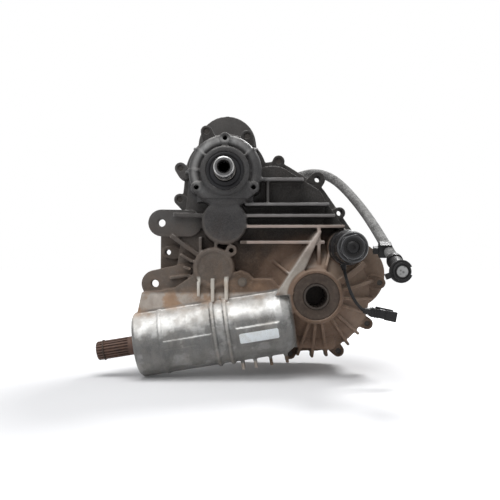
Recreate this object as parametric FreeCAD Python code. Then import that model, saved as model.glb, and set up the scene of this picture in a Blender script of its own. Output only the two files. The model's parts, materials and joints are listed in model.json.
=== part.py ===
"""Two-range utility-vehicle transmission with an integral rear differential and a front output snorkel.

Frame: +Z up, +X to the differential side, -Y towards the clutch side. The origin is on the axle axis,
at the mouth of the clutch-side axle hub. Lengths are in millimetres.
"""
import FreeCAD
import Part

import math
import os

V = FreeCAD.Vector
os.makedirs("parts", exist_ok=True)

# Case halves: planes along Y and wall sizes
parting_y = 70.0
front_wall_y = 36.0
rear_wall_y = 160.0
wall = 6.0
flange_thick = 8.0
flange_step = 9.0
gasket_thick = 0.6
floor_z = -118.0

# Shafts that run along Y: positions in X and Z follow from the gear centre distances
module = 3.0
pressure_deg = 25.0
backlash = 0.16
input_x, input_z = -128.3, 177.4
high_pinion_teeth, high_gear_teeth = 18, 30
low_pinion_teeth, low_gear_teeth = 16, 32
drive_pinion_teeth, drive_gear_teeth = 22, 36
reverse_pinion_teeth, idler_teeth, reverse_gear_teeth = 16, 29, 31
final_pinion_teeth, ring_teeth = 13, 41
transfer_teeth = 17
counter_turn_deg = -91.0
transfer_turn_deg = 208.9


def centre_distance(teeth_a, teeth_b):
    return module * (teeth_a + teeth_b) / 2.0


def from_point(x, z, distance, turn_deg):
    """A point at a distance from (x, z), turned from +X towards +Z."""
    turn = math.radians(turn_deg)
    return x + distance * math.cos(turn), z + distance * math.sin(turn)


def meeting_point(a, ra, b, rb):
    """The point that lies ra from a and rb from b, on the left of the way from a to b."""
    dx, dz = b[0] - a[0], b[1] - a[1]
    d = math.hypot(dx, dz)
    along = (ra * ra - rb * rb + d * d) / (2 * d)
    off = math.sqrt(max(ra * ra - along * along, 0.0))
    return a[0] + (along * dx - off * dz) / d, a[1] + (along * dz + off * dx) / d


axle = (0.0, 0.0)
shaft_in = (input_x, input_z)
shaft_counter = from_point(*shaft_in, centre_distance(high_pinion_teeth, high_gear_teeth), counter_turn_deg)
shaft_mid = meeting_point(
    shaft_counter,
    centre_distance(drive_pinion_teeth, drive_gear_teeth),
    axle,
    centre_distance(final_pinion_teeth, ring_teeth),
)
shaft_idler = meeting_point(
    shaft_mid,
    centre_distance(idler_teeth, reverse_gear_teeth),
    shaft_counter,
    centre_distance(reverse_pinion_teeth, idler_teeth),
)
shaft_transfer = from_point(*axle, centre_distance(ring_teeth, transfer_teeth), transfer_turn_deg)

# Gear stack: where each pair lies along Y
gear_width = 14.0
low_y = 50.0
collar_y = 67.5
high_y = 88.0
drive_y = 106.0
reverse_y = 124.0
reverse_width = 12.0
final_y = 86.0
final_width = 16.0

# Bearings: bore radius, outer radius and width of each size
bearing_small = (8.5, 20.0, 12.0)
bearing_medium = (12.5, 26.0, 15.0)
bearing_axle = (18.0, 31.0, 12.0)
bearing_output = (15.0, 31.0, 16.0)
press_gap = 0.02
running_gap = 0.03
input_bearing = (15.0, 28.0, 16.0)
front_bearing_y = 20.0
rear_bearing_y = 139.0
transfer_bearing_y = 106.0

# Input shaft and its dome
input_nose_r = 14.0
input_nose_long = 38.0
input_nose_chamfer = 1.5
input_shaft_r = 15.0
input_shaft_end_y = -42.0
input_seal_r = 27.0
dome_boss_r = 35.0
dome_boss_y = 4.0
dome_r = 52.5
dome_crest_y = 10.5
dome_bulge_r = 9.0
clutch_boss_pitch_r = 46.5
clutch_boss_r = 8.0
clutch_hole_r = 3.4
clutch_hole_deep = 22.0

# Bearing pads on the clutch-side face
counter_pad_r = 31.8
idler_pad_r = 29.0
pad_y = 14.0

# Differential cover and axle hubs
axle_boss_r = 34.5
axle_ring_r = 38.5
axle_seal_r = 33.0
hub_r = 18.0
hub_bore_r = 15.0
hub_pilot_deep = 12.0
cover_r = 81.0
axle_bearing_y = 10.0
cover_flange_r = 84.0
cover_rib_r = 92.0
rear_axle_y = 174.0

# Front output snorkel: its axis runs towards -X and down, square to the transfer shaft
snorkel_tilt_deg = 9.2
snorkel_y = 30.0
snorkel_r = 46.4
snorkel_wall = 7.0
snorkel_mouth = 181.0
snorkel_back = -46.0
snorkel_chamfer = 4.0
bevel_teeth = 18
bevel_width = 11.0
output_spline_r = 13.4
output_spline_teeth = 20
output_end = 239.4
output_journal_r = 15.0
output_seats = (62.0, 150.0)
output_seal_r = 34.0
bevel_room_r = 31.5
snorkel_bands = (48.0, 66.5)
band_width = 4.4
band_high = 3.0
snorkel_pads = (
    (93.0, 142.0, 80.0, 93.0, 1.2),
    (66.0, 93.5, 90.5, 93.0, 1.2),
    (-24.0, 36.0, 65.0, 95.0, 1.6),
)
snorkel_fins = (-27.8, -5.2, 17.2, 35.4)
snorkel_fin_high = 12.0

# Mounting lugs
lug_r = 19.5
lug_hole_r = 5.5
lug_face_y = 30.0
lug_thick = 14.0
upper_lug = (-220.7, 104.7)
lower_lug = (-230.4, 16.9)
lug_feet = ((-182.0, 104.0, 19.5), (-185.0, 22.0, 24.0))
left_web = ((-216.0, 88.0, 10.0), (-216.5, 38.0, 10.0), (-170.0, 38.0, 30.0), (-170.0, 88.0, 30.0))

# Raised detail on the clutch-side face: levels and places of fins, ribs and bosses
fin_front_y = 14.0
fin_thick = 4.5
guard_boss = (-119.7, 64.8)
level_plug_at = (-104.0, 20.0)
level_plug_y = 15.5
plug_r = 6.0
level_plug_r = 4.0
plug_flange_r = 6.6
spot_face_gap = 0.6
fins = (
    (166.3, -97.0, -16.3),
    (130.8, -100.0, 20.3),
    (114.6, -100.0, 28.0),
    (99.2, -98.0, 42.0),
    (76.6, -107.0, 13.5),
)
ties = (
    ((5.0, 99.0), (5.0, 41.0), 5.0, 14.0),
    ((-67.4, 166.0), (-67.4, 131.0), 4.0, 20.0),
    ((-206.6, 86.0), (-168.0, 58.0), 6.0, 24.0),
    ((-203.0, 116.0), (-160.0, 114.5), 6.0, 20.0),
    ((-164.0, 84.0), (-164.0, 58.0), 4.0, 16.0),
    ((-142.0, 78.0), (-142.0, 66.0), 4.0, 16.0),
    ((-166.0, 20.7), (-166.0, 0.0), 4.0, 8.0),
    ((-146.0, 24.3), (-146.0, -8.0), 5.0, 8.0),
    ((-126.6, 26.7), (-126.6, -10.0), 5.5, 8.0),
    ((-193.0, 59.5), (-175.2, 48.8), 4.0, 18.0),
    ((-188.3, 41.6), (-177.6, 38.1), 4.0, 18.0),
    ((-208.5, 25.1), (-177.6, 29.8), 4.5, 22.0),
)
web_y = 16.0
shelf_edge = ((-116.8, 31.0), (-106.1, 34.6), (-95.4, 29.9), (-88.3, 22.8), (-62.1, 22.8), (-51.7, 11.0))
gusset = (
    (92.0, ((4.6, 13.0), (9.0, 13.0), (10.0, 60.0), (-12.0, 60.0))),
    (2.0, ((-57.0, -2.0), (-33.0, -2.0), (-14.0, 60.0), (-62.0, 60.0))),
)
cover_ribs = (
    (71.0, 4.0, 88.0),
    (31.0, 9.0, 88.0),
    (13.0, 4.0, 90.0),
    (-4.0, 4.0, 88.0),
    (-19.0, 4.0, 88.0),
    (-41.0, 4.0, 88.0),
    (-55.0, 4.0, 90.0),
    (-78.0, 4.5, 92.0),
    (-91.5, 4.5, 92.0),
    (-105.0, 4.5, 92.0),
    (140.0, 4.0, 86.0),
)

# Differential lock solenoid and its rod
solenoid_at = (44.0, 69.0)
solenoid_r = 24.6
solenoid_can_r = 22.0
solenoid_front_y = -50.0
solenoid_seat_y = 24.0
lock_rod_r = 6.0

# Case screws: ear positions on the flange, and which of them hold no screw
ear_r = 8.8
ear_hole_r = 4.2
screw_r = 4.0
screw_head_r = 6.5
screw_head_high = 6.0
screw_long = 20.6
ear_front_y = 56.0
ears = {
    "top_left": (-157.6, 241.7),
    "top_right": (-97.2, 234.8),
    "shoulder": (-50.4, 197.3),
    "upper_right": (7.1, 170.1),
    "right": (39.7, 120.4),
    "left_upper": (-196.0, 186.9),
    "left_middle": (-197.0, 140.5),
    "axle_right": (99.4, 16.7),
    "axle_low_right": (80.7, -43.8),
    "axle_bottom": (37.8, -84.0),
    "web_left": (-214.5, 62.1),
    "under_transfer": (-34.0, -88.0),
}
wide_ears = {"upper_right": 11.5}
open_ears = ("upper_right", "right", "web_left")


def cyl(r, y0, y1, at=(0.0, 0.0)):
    """A cylinder along Y between y0 and y1."""
    return Part.makeCylinder(r, y1 - y0, V(at[0], y0, at[1]), V(0, 1, 0))


def ring(r_in, r_out, y0, y1, at=(0.0, 0.0)):
    return cyl(r_out, y0, y1, at).cut(cyl(r_in, y0 - 1, y1 + 1, at))


def turned(profile, at=(0.0, 0.0)):
    """A solid turned about an axis along Y from (radius, y) points."""
    points = [V(at[0] + r, y, at[1]) for r, y in profile]
    face = Part.Face(Part.makePolygon(points + points[:1]))
    return face.revolve(V(at[0], 0, at[1]), V(0, 1, 0), 360)


def belt_edges(circles, y):
    """Tangent lines and arcs round (x, z, r) circles listed anticlockwise, seen from -Y."""
    n = len(circles)
    touches = []
    for i in range(n):
        x1, z1, r1 = circles[i]
        x2, z2, r2 = circles[(i + 1) % n]
        d = math.hypot(x2 - x1, z2 - z1)
        ux, uz = (x2 - x1) / d, (z2 - z1) / d
        s = (r1 - r2) / d
        c = math.sqrt(1 - s * s)
        touches.append((c * uz + s * ux, -c * ux + s * uz))
    edges = []
    for i in range(n):
        x, z, r = circles[i]
        before, after = touches[i - 1], touches[i]
        a0 = math.atan2(before[1], before[0])
        a1 = math.atan2(after[1], after[0])
        while a1 < a0 - 1e-9:
            a1 += 2 * math.pi
        start = V(x + r * math.cos(a0), y, z + r * math.sin(a0))
        stop = V(x + r * math.cos(a1), y, z + r * math.sin(a1))
        if a1 - a0 > 1e-4 and r > 1e-6:
            mid = (a0 + a1) / 2
            middle = V(x + r * math.cos(mid), y, z + r * math.sin(mid))
            edges.append(Part.Arc(start, middle, stop).toShape())
        nx, nz, nr = circles[(i + 1) % n]
        onto = V(nx + nr * after[0], y, nz + nr * after[1])
        edges.append(Part.LineSegment(stop, onto).toShape())
    return edges


def prism(circles, y0, y1):
    """A plate whose outline is a belt round circles."""
    face = Part.Face(Part.Wire(belt_edges(circles, y0)))
    return face.extrude(V(0, y1 - y0, 0))


def grown(circles, by):
    return [(x, z, r + by) for x, z, r in circles]


def plate_rib(a, b, thick, y0, y1):
    """An upright rib of a given thickness between two points in X and Z."""
    dx, dz = b[0] - a[0], b[1] - a[1]
    d = math.hypot(dx, dz)
    nx, nz = -dz / d * thick / 2, dx / d * thick / 2
    points = [
        V(a[0] + nx, y0, a[1] + nz),
        V(b[0] + nx, y0, b[1] + nz),
        V(b[0] - nx, y0, b[1] - nz),
        V(a[0] - nx, y0, a[1] - nz),
    ]
    return Part.Face(Part.makePolygon(points + points[:1])).extrude(V(0, y1 - y0, 0))


def profile_rib(outline, thick, turn_deg, at=(0.0, 0.0)):
    """A radial rib from (radius, y) points, turned about an axis along Y."""
    points = [V(r, y, -thick / 2) for r, y in outline]
    rib = Part.Face(Part.makePolygon(points + points[:1])).extrude(V(0, 0, thick))
    rib.rotate(V(0, 0, 0), V(0, 1, 0), -turn_deg)
    rib.translate(V(at[0], 0, at[1]))
    return rib


def fused(shapes):
    whole = shapes[0]
    if len(shapes) > 1:
        whole = whole.multiFuse(shapes[1:])
    return whole.removeSplitter()


def in_snorkel(shape):
    """Carries a shape made about +X, at the origin, onto the snorkel axis at the bevel apex."""
    moved = shape.copy()
    moved.rotate(V(0, 0, 0), V(0, 1, 0), 180 - snorkel_tilt_deg)
    moved.translate(V(shaft_transfer[0], snorkel_y, shaft_transfer[1]))
    return moved


def snorkel_point(along, off=0.0):
    """X and Z of a point along the snorkel axis from the bevel apex, and off it upwards."""
    t = math.radians(snorkel_tilt_deg)
    x = shaft_transfer[0] - along * math.cos(t) - off * math.sin(t)
    z = shaft_transfer[1] - along * math.sin(t) + off * math.cos(t)
    return x, z


def along_x(profile):
    """A solid turned about +X from (x, radius) points."""
    points = [V(x, 0, r) for x, r in profile]
    face = Part.Face(Part.makePolygon(points + points[:1]))
    return face.revolve(V(0, 0, 0), V(1, 0, 0), 360)


def export(name, *solids):
    """Writes one node: a single solid, or a group of separate ones."""
    flat = [s for shape in solids for s in shape.Solids]
    shape = flat[0] if len(flat) == 1 else Part.makeCompound(flat)
    if not shape.isValid():
        print("INVALID", name)
    shape.exportStep("parts/" + name + ".step")
    print(name, len(flat), round(sum(s.Volume for s in flat)))


# Spur gears
def involute_point(base_r, r):
    """Polar angle of the involute where it reaches radius r."""
    t = math.sqrt(max((r / base_r) ** 2 - 1.0, 0.0))
    return t - math.atan(t)


def tooth_phase(from_at, to_at, from_teeth, to_teeth, from_phase):
    """Phase that puts a gear in mesh with one whose phase is known."""
    line = math.atan2(to_at[1] - from_at[1], to_at[0] - from_at[0])
    return line + math.pi + math.pi / to_teeth + (line - from_phase) * from_teeth / to_teeth


def spur_blank(teeth, at, phase, y0, width, inward=0.0):
    """A full-depth spur gear body: flanks are arcs through three involute points."""
    pitch_r = module * teeth / 2
    base_r = pitch_r * math.cos(math.radians(pressure_deg))
    tip_r = pitch_r + module - inward
    root_r = pitch_r - 1.25 * module
    start_r = max(base_r, root_r)
    half = math.pi / (2 * teeth) - backlash / (2 * pitch_r)
    pitch_angle = involute_point(base_r, pitch_r)

    def spot(r, angle):
        return V(at[0] + r * math.cos(angle), y0, at[1] + r * math.sin(angle))

    def flank(r):
        return half + pitch_angle - involute_point(base_r, r)

    edges = []
    step = 2 * math.pi / teeth
    for i in range(teeth):
        centre = phase + i * step
        low, mid, high = flank(start_r), flank((start_r + tip_r) / 2), flank(tip_r)
        a = spot(start_r, centre - low)
        b = spot(tip_r, centre - high)
        c = spot(tip_r, centre + high)
        d = spot(start_r, centre + low)
        if root_r < base_r - 0.01:
            edges.append(Part.LineSegment(spot(root_r, centre - low), a).toShape())
        edges.append(Part.Arc(a, spot((start_r + tip_r) / 2, centre - mid), b).toShape())
        edges.append(Part.LineSegment(b, c).toShape())
        edges.append(Part.Arc(c, spot((start_r + tip_r) / 2, centre + mid), d).toShape())
        foot = d
        if root_r < base_r - 0.01:
            foot = spot(root_r, centre + low)
            edges.append(Part.LineSegment(d, foot).toShape())
        edges.append(Part.LineSegment(foot, spot(min(root_r, start_r), centre + step - low)).toShape())
    return Part.Face(Part.Wire(edges)).extrude(V(0, width, 0))


def lightened(gear, at, y0, width, bore_r, hub_out_r, rim_r, holes=0):
    """Bores a gear, thins its web on both faces and drills lightening holes."""
    gear = gear.cut(cyl(bore_r, y0 - 1, y0 + width + 1, at))
    web = width * 0.22
    gear = gear.cut(ring(hub_out_r, rim_r, y0 - 1, y0 + web, at))
    gear = gear.cut(ring(hub_out_r, rim_r, y0 + width - web, y0 + width + 1, at))
    hole_r = (rim_r - hub_out_r) * 0.3
    for i in range(holes):
        spot = from_point(*at, (rim_r + hub_out_r) / 2, 360.0 * i / holes)
        gear = gear.cut(cyl(hole_r, y0 - 1, y0 + width + 1, spot))
    return gear


# Bevel gears
bevel_tip_relief = 0.2


def bevel_gear(teeth, mate_teeth, outer_module, width, back, phase=0.0, slack=0.2):
    """A straight bevel gear with its apex at the origin, opening along +Z."""
    cone = math.atan2(teeth, mate_teeth)
    pitch_r = outer_module * teeth / 2
    cone_length = pitch_r / math.sin(cone)
    inner = 1 - width / cone_length
    add, ded = 0.7 * outer_module, 1.2 * outer_module
    root = V(0, pitch_r - ded * math.cos(cone), pitch_r / math.tan(cone) + ded * math.sin(cone))
    tip = V(0, pitch_r + add * math.cos(cone), pitch_r / math.tan(cone) - add * math.sin(cone))
    body_points = [
        V(0, 0, root.z * inner),
        V(0, root.y * inner, root.z * inner),
        V(0, root.y, root.z),
        V(0, root.y, root.z + back),
        V(0, 0, root.z + back),
    ]
    body = Part.Face(Part.makePolygon(body_points + body_points[:1])).revolve(V(0, 0, 0), V(0, 0, 1), 360)
    half_pitch = math.pi / (2 * teeth)
    spread = math.tan(math.radians(22.0)) / math.cos(cone)
    wide = half_pitch - slack / (2 * pitch_r) + ded * spread / pitch_r
    narrow = half_pitch - slack / (2 * pitch_r) - (add * spread + bevel_tip_relief) / pitch_r

    def section(scale, turn):
        sunk = root * 0.97
        corners = ((sunk, -wide), (tip, -narrow), (tip, narrow), (sunk, wide))
        points = [
            V(p.y * math.sin(turn + a), p.y * math.cos(turn + a), p.z) * scale for p, a in corners
        ]
        return Part.makePolygon(points + points[:1])

    tooth = []
    for i in range(teeth):
        turn = phase + 2 * math.pi * i / teeth
        tooth.append(Part.makeLoft([section(1.0, turn), section(inner, turn)], True, True))
    return body.multiFuse(tooth)


def turned_to(shape, axis, at):
    """Turns a shape made along +Z so that it points along an axis, at a point."""
    moved = shape.copy()
    moved.Placement = FreeCAD.Placement(at, FreeCAD.Rotation(V(0, 0, 1), axis)).multiply(moved.Placement)
    return moved


# Case outlines, as circles listed anticlockwise seen from -Y
gear_clear = 1.5
counter_wall_r = module * (low_gear_teeth + 2) / 2 + gear_clear + wall
idler_wall_r = module * (idler_teeth + 2) / 2 + gear_clear + wall
mid_wall_r = module * (drive_gear_teeth + 2) / 2 + gear_clear + wall
axle_wall_r = module * (ring_teeth + 2) / 2 + gear_clear + wall + 2.0
transfer_wall_r = 40.0
drum_at = (-54.0, 140.0)
drum_r = 17.0
drum_journal_r = 8.0
fork_rail_at = (-85.0, 147.0)
fork_rail_r = 6.0
idler_pin_r = 9.0

input_circle = (*shaft_in, 52.0)
counter_circle = (*shaft_counter, counter_wall_r)
idler_circle = (*shaft_idler, idler_wall_r)
mid_circle = (*shaft_mid, mid_wall_r)
transfer_circle = (*shaft_transfer, transfer_wall_r)
axle_circle = (*axle, axle_wall_r)
drum_circle = (-60.0, 150.0, 38.0)
shoulder_circle = (-10.0, 133.0, 26.0)
lock_circle = (*solenoid_at, 18.0)

gearbox_outlines = [
    [input_circle, counter_circle],
    [counter_circle, mid_circle, shoulder_circle, drum_circle],
    [counter_circle, idler_circle, transfer_circle, mid_circle],
]
axle_outlines = [
    [mid_circle, axle_circle, lock_circle, shoulder_circle],
    [idler_circle, transfer_circle, axle_circle, mid_circle],
]
flange_lobe = (57.3, 28.7, 50.6)
axle_front_y = 48.0


def outline_solids(outlines, by, y0, y1):
    return [prism(grown(circles, by), y0, y1) for circles in outlines]


def case_ears(y0, y1):
    """The screw ears round the flange, each with a short web to the outline."""
    solids = []
    for name, at in ears.items():
        r = wide_ears.get(name, ear_r)
        inward = from_point(*at, 10.0, math.degrees(math.atan2(50.0 - at[1], -90.0 - at[0])))
        solids.append(prism([(*at, r), (*inward, r + 1.0)], y0, y1))
    return solids


def ear_holes(y0, y1):
    return [cyl(ear_hole_r, y0, y1, at) for at in ears.values()]


def cone_y(r):
    """Y of the differential cover's cone at a radius."""
    share = (r - axle_ring_r) / (cover_r - axle_ring_r)
    return 9.0 + share * (52.0 - 9.0)


def build_front_case():
    solids = outline_solids(gearbox_outlines, 0.0, front_wall_y, parting_y)
    solids += outline_solids(axle_outlines, 0.0, axle_front_y, parting_y)
    solids += outline_solids(gearbox_outlines + axle_outlines, flange_step, parting_y - flange_thick, parting_y)
    solids.append(cyl(flange_lobe[2], parting_y - flange_thick, parting_y, flange_lobe[:2]))
    solids += case_ears(ear_front_y, parting_y)

    # Input dome: boss ring, bulged annulus and flange
    bulge = [
        (dome_r - dome_bulge_r + dome_bulge_r * math.cos(math.radians(turn)),
         dome_crest_y + dome_bulge_r - dome_bulge_r * math.sin(math.radians(turn)))
        for turn in range(150, -1, -15)
    ]
    solids.append(turned([
        (0, dome_boss_y), (dome_boss_r - 2, dome_boss_y), (dome_boss_r, dome_boss_y + 2),
        (dome_boss_r, bulge[0][1]), *bulge, (dome_r, parting_y), (0, parting_y),
    ], shaft_in))
    for turn in (90, 210, 330):
        at = from_point(*shaft_in, clutch_boss_pitch_r, turn)
        solids.append(turned([
            (0, 6), (clutch_boss_r - 1, 6), (clutch_boss_r, 7), (clutch_boss_r + 2.0, front_wall_y + 4),
            (0, front_wall_y + 4),
        ], at))
        solids.append(plate_rib(from_point(*shaft_in, dome_boss_r - 3, turn), at, 9.0, 8.0, 44.0))
    for turn in (38, 142, 178):
        rib = [(dome_boss_r - 3, 6), (dome_r, 12), (dome_r + 7, 42), (dome_r + 7, 62), (dome_boss_r - 3, 62)]
        solids.append(profile_rib(rib, 3.5, turn, shaft_in))
    top_fin = [(clutch_boss_pitch_r, 22), (dome_r + 6, 34), (dome_r + 6, 62), (clutch_boss_pitch_r, 62)]
    solids.append(profile_rib(top_fin, 4.0, 90, shaft_in))

    # Plate and web between the lower clutch bosses, and the pads over the two lower bearings
    lower = [from_point(*shaft_in, clutch_boss_pitch_r, turn) for turn in (210, 330)]
    toes = [(lower[0][0] + 12.3, lower[0][1] - 9.8), (lower[1][0] - 10.3, lower[1][1] - 9.8)]
    solids.append(prism([(*lower[0], 8.5), (*toes[0], 6.0), (*toes[1], 6.0), (*lower[1], 8.5)], 8.0, 44.0))
    solids.append(plate_rib((lower[0][0], lower[0][1] - 7), (lower[1][0], lower[1][1] - 7), 26.0, 20.0, 44.0))
    solids.append(turned([
        (0, pad_y), (counter_pad_r - 2, pad_y), (counter_pad_r, pad_y + 2), (counter_pad_r + 2, 40), (0, 40),
    ], shaft_counter))
    solids.append(turned([
        (0, pad_y), (idler_pad_r - 7, pad_y), (idler_pad_r - 6, pad_y - 2), (idler_pad_r - 2, pad_y - 2),
        (idler_pad_r, pad_y), (idler_pad_r + 2, 40), (0, 40),
    ], shaft_idler))
    solids.append(cyl(8.0, pad_y, 40.0, guard_boss))

    # Cooling fins to the right of the pads, each a level plate that stands out of the wall
    for z, left, right in fins:
        corner = V(left, fin_front_y, z - fin_thick / 2)
        solids.append(Part.makeBox(right - left, parting_y - fin_front_y, fin_thick, corner))
    # Upright ribs and the ribs that tie the pads to the lugs and to each other
    for a, b, thick, y0 in ties:
        solids.append(plate_rib(a, b, thick, y0, front_wall_y + 10))

    # Diagonal gusset between the wall and the differential cover
    sections = []
    for z, level in gusset:
        points = [V(x, y, z) for x, y in level]
        sections.append(Part.makePolygon(points + points[:1]))
    solids.append(Part.makeLoft(sections, True, True))

    # Differential cover with its axle boss and radial ribs
    solids.append(turned([
        (0, 0), (axle_boss_r + 2, 0), (axle_ring_r, 2), (axle_ring_r, 9), (60, cone_y(60) - 3),
        (cover_r, 52), (cover_flange_r, 56), (cover_flange_r, parting_y), (0, parting_y),
    ]))
    for turn, thick, reach in cover_ribs:
        rib = [(axle_ring_r - 3, 5), (axle_ring_r + 8, 6), (reach, 42), (reach, 64), (axle_ring_r - 3, 64)]
        solids.append(profile_rib(rib, thick, turn))
    chin = [(-26.0, -66.0, 9.0), (22.0, -70.0, 9.0), (14.0, -50.0, 9.0), (-18.0, -50.0, 9.0)]
    solids.append(prism([chin[0], chin[1], chin[2], chin[3]], 30.0, parting_y))

    # Bosses for the oil level plug and behind the lock solenoid
    solids.append(turned([(0, level_plug_y), (10, level_plug_y), (12, 40), (0, 40)], level_plug_at))
    solids.append(turned([(0, solenoid_seat_y), (26.0, solenoid_seat_y), (28.0, 62.0), (0, 62.0)], solenoid_at))

    # Mounting lugs and their webs
    for at, foot in zip((upper_lug, lower_lug), lug_feet):
        solids.append(prism([(*at, lug_r), foot], lug_face_y, lug_face_y + lug_thick))
        solids.append(plate_rib((at[0] + 12, at[1]), foot[:2], 12.0, lug_face_y + 6, parting_y - 4))
    solids.append(prism(left_web, parting_y - flange_thick, parting_y))

    case = fused(solids)

    # Output snorkel with its bands, pads, fins and the web that carries it
    half = snorkel_r
    tube = along_x([
        (snorkel_back, 0), (snorkel_back, half - 16), (snorkel_back + 5, half - 7), (snorkel_back + 16, half),
        (snorkel_mouth - snorkel_chamfer, half), (snorkel_mouth, half - snorkel_chamfer), (snorkel_mouth, 0),
    ])
    extras = []
    for along in snorkel_bands:
        extras.append(along_x([
            (along - band_width, half - 4), (along - band_width / 2, half + band_high),
            (along + band_width / 2, half + band_high), (along + band_width, half - 4),
        ]))
    for pad in snorkel_pads:
        extras.append(raised_pad(*pad))
    for along in snorkel_fins:
        corner = V(along - fin_thick / 2, -14.0, half - 10.0)
        extras.append(Part.makeBox(fin_thick, 30.0, snorkel_fin_high + 10.0, corner))
    extras.append(along_x([
        (snorkel_mouth - 42, half - 2), (snorkel_mouth - 42, half + 1.2),
        (snorkel_mouth - 38, half + 1.2), (snorkel_mouth - 38, half - 2),
    ]))
    snorkel = in_snorkel(tube.multiFuse(extras))
    top_left = snorkel_point(snorkel_mouth - 48, half - 16)
    mouth_top = snorkel_point(snorkel_mouth - 3, half - 14)
    back_top = snorkel_point(64, half - 20)
    outline = [
        (lower_lug[0] - 17, lower_lug[1] - 12), mouth_top, (top_left[0] + 20, top_left[1] - 12), back_top,
        snorkel_point(-20, half - 20), *reversed(shelf_edge), (-125.0, 45.0), (-165.0, 45.0), (-177.0, 28.0),
        (-200.0, 12.0), (lower_lug[0] + 6, lower_lug[1] - 10),
    ]
    points = [V(x, web_y, z) for x, z in outline]
    web = Part.Face(Part.makePolygon(points + points[:1])).extrude(V(0, 46, 0))
    lips = [plate_rib(a, b, 4.0, web_y - 2, front_wall_y + 10) for a, b in zip(shelf_edge, shelf_edge[1:])]
    behind = prism(grown(gearbox_outlines[2], 30.0), parting_y, 140.0)
    behind = behind.fuse(prism(grown(axle_outlines[1], 30.0), parting_y, 140.0))
    case = fused([case, snorkel.cut(behind), web] + lips)

    # Hollow inside
    inner_y = front_wall_y + wall
    hollow = outline_solids(gearbox_outlines, -wall, inner_y, parting_y + 1)
    hollow += outline_solids(axle_outlines, -wall, axle_front_y + wall, parting_y + 1)
    hollow.append(cyl(mid_wall_r - wall, axle_front_y + wall, parting_y + 1, shaft_mid))
    hollow.append(turned([
        (0, 21.9), (44.0, 21.9), (60, cone_y(60) + 4), (axle_wall_r - wall, cone_y(axle_wall_r) + 6),
        (axle_wall_r - wall, parting_y + 1), (0, parting_y + 1),
    ]))
    hollow.append(turned([
        (0, 30), (dome_r - 15.5, 30), (dome_r - 8.5, 36), (dome_r - 8.5, parting_y + 1), (0, parting_y + 1),
    ], shaft_in))
    case = case.cut(fused(hollow))

    # Bearing seats and rail seats inside the front wall
    seats = [
        turned([(0, 38), (bearing_small[1] + 7, 38), (bearing_small[1] + 6, 56), (0, 56)], shaft_mid),
        cyl(11.0, 38, low_y - 2, fork_rail_at),
        cyl(13.0, 38, 52, drum_at),
        cyl(15.0, 38, low_y - 2, shaft_idler),
    ]
    case = fused([case] + seats)
    cuts = [
        # input: seal, bearing and clearance for the shaft
        cyl(input_seal_r, dome_boss_y - 1, 14.0, shaft_in),
        cyl(input_bearing[1], 14.0, 30.5, shaft_in),
        # counter shaft bearing, from inside
        cyl(bearing_medium[1], front_bearing_y, 45.0, shaft_counter),
        cyl(bearing_small[1], 44.0, 60.0, shaft_mid),
        cyl(idler_pin_r, 28.0, 60.0, shaft_idler),
        cyl(fork_rail_r, 44.0, 60.0, fork_rail_at),
        cyl(drum_journal_r + running_gap, 44.0, 60.0, drum_at),
        # axle: seal, bearing and the space for the lock collar
        cyl(axle_seal_r, -1, 9.0),
        cyl(bearing_axle[1] - 3, 8.0, 11.0),
        cyl(bearing_axle[1], axle_bearing_y, 24.0),
        # the lock rod passes to the solenoid
        cyl(lock_rod_r + running_gap, solenoid_seat_y - 1, 70.0, solenoid_at),
        cyl(solenoid_r + spot_face_gap, solenoid_seat_y - 20, solenoid_seat_y, solenoid_at),
        cyl(level_plug_r, level_plug_y - 1, inner_y + 1, level_plug_at),
        cyl(plug_flange_r + spot_face_gap, level_plug_y - 12, level_plug_y, level_plug_at),
        cyl(clutch_hole_r, 5, 40, guard_boss).common(cyl(10, 5, pad_y + 16, guard_boss)),
    ]
    for turn in (90, 210, 330):
        at = from_point(*shaft_in, clutch_boss_pitch_r, turn)
        cuts.append(cyl(clutch_hole_r, 5, 6 + clutch_hole_deep, at))
    for at in (upper_lug, lower_lug):
        cuts.append(cyl(lug_hole_r, lug_face_y - 1, lug_face_y + lug_thick + 1, at))
        cuts.append(cyl(lug_hole_r + 7, lug_face_y + lug_thick, parting_y, at))
    cuts += ear_holes(ear_front_y - 10, parting_y + 1)
    # inside of the snorkel: gear room, two bearing seats and the seal seat
    room = half - snorkel_wall
    cuts.append(in_snorkel(along_x([
        (snorkel_back + wall + 4, 0), (snorkel_back + wall + 4, room - 14), (snorkel_back + 26, room),
        (output_seats[0], room), (output_seats[0], bearing_output[1]),
        (output_seats[0] + bearing_output[2], bearing_output[1]),
        (output_seats[0] + bearing_output[2], bearing_output[1] - 3), (output_seats[1], bearing_output[1] - 3),
        (output_seats[1], bearing_output[1]), (snorkel_mouth - 14, bearing_output[1]),
        (snorkel_mouth - 14, output_seal_r), (snorkel_mouth - 4, output_seal_r),
        (snorkel_mouth - 1, output_seal_r + 3), (snorkel_mouth + 1, output_seal_r + 3), (snorkel_mouth + 1, 0),
    ])))
    # way from the snorkel into the case for the transfer shaft
    cuts.append(cyl(bevel_room_r, snorkel_y, parting_y + 1, shaft_transfer))
    case = case.cut(fused(cuts))
    # The face towards the rear case is flat
    return case.cut(fused(outline_solids(gearbox_outlines + axle_outlines, 20.0, parting_y, 120.0)))


def raised_pad(along0, along1, turn0, turn1, high):
    """A low pad that follows the snorkel, between two places along it and two turns about it."""
    half = snorkel_r
    face = Part.Face(Part.makePolygon([
        V(along0, 0, half - 3), V(along1, 0, half - 3), V(along1, 0, half + high),
        V(along0, 0, half + high), V(along0, 0, half - 3),
    ]))
    pad = face.revolve(V(0, 0, 0), V(1, 0, 0), turn1 - turn0)
    pad.rotate(V(0, 0, 0), V(1, 0, 0), turn0)
    return pad


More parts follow.
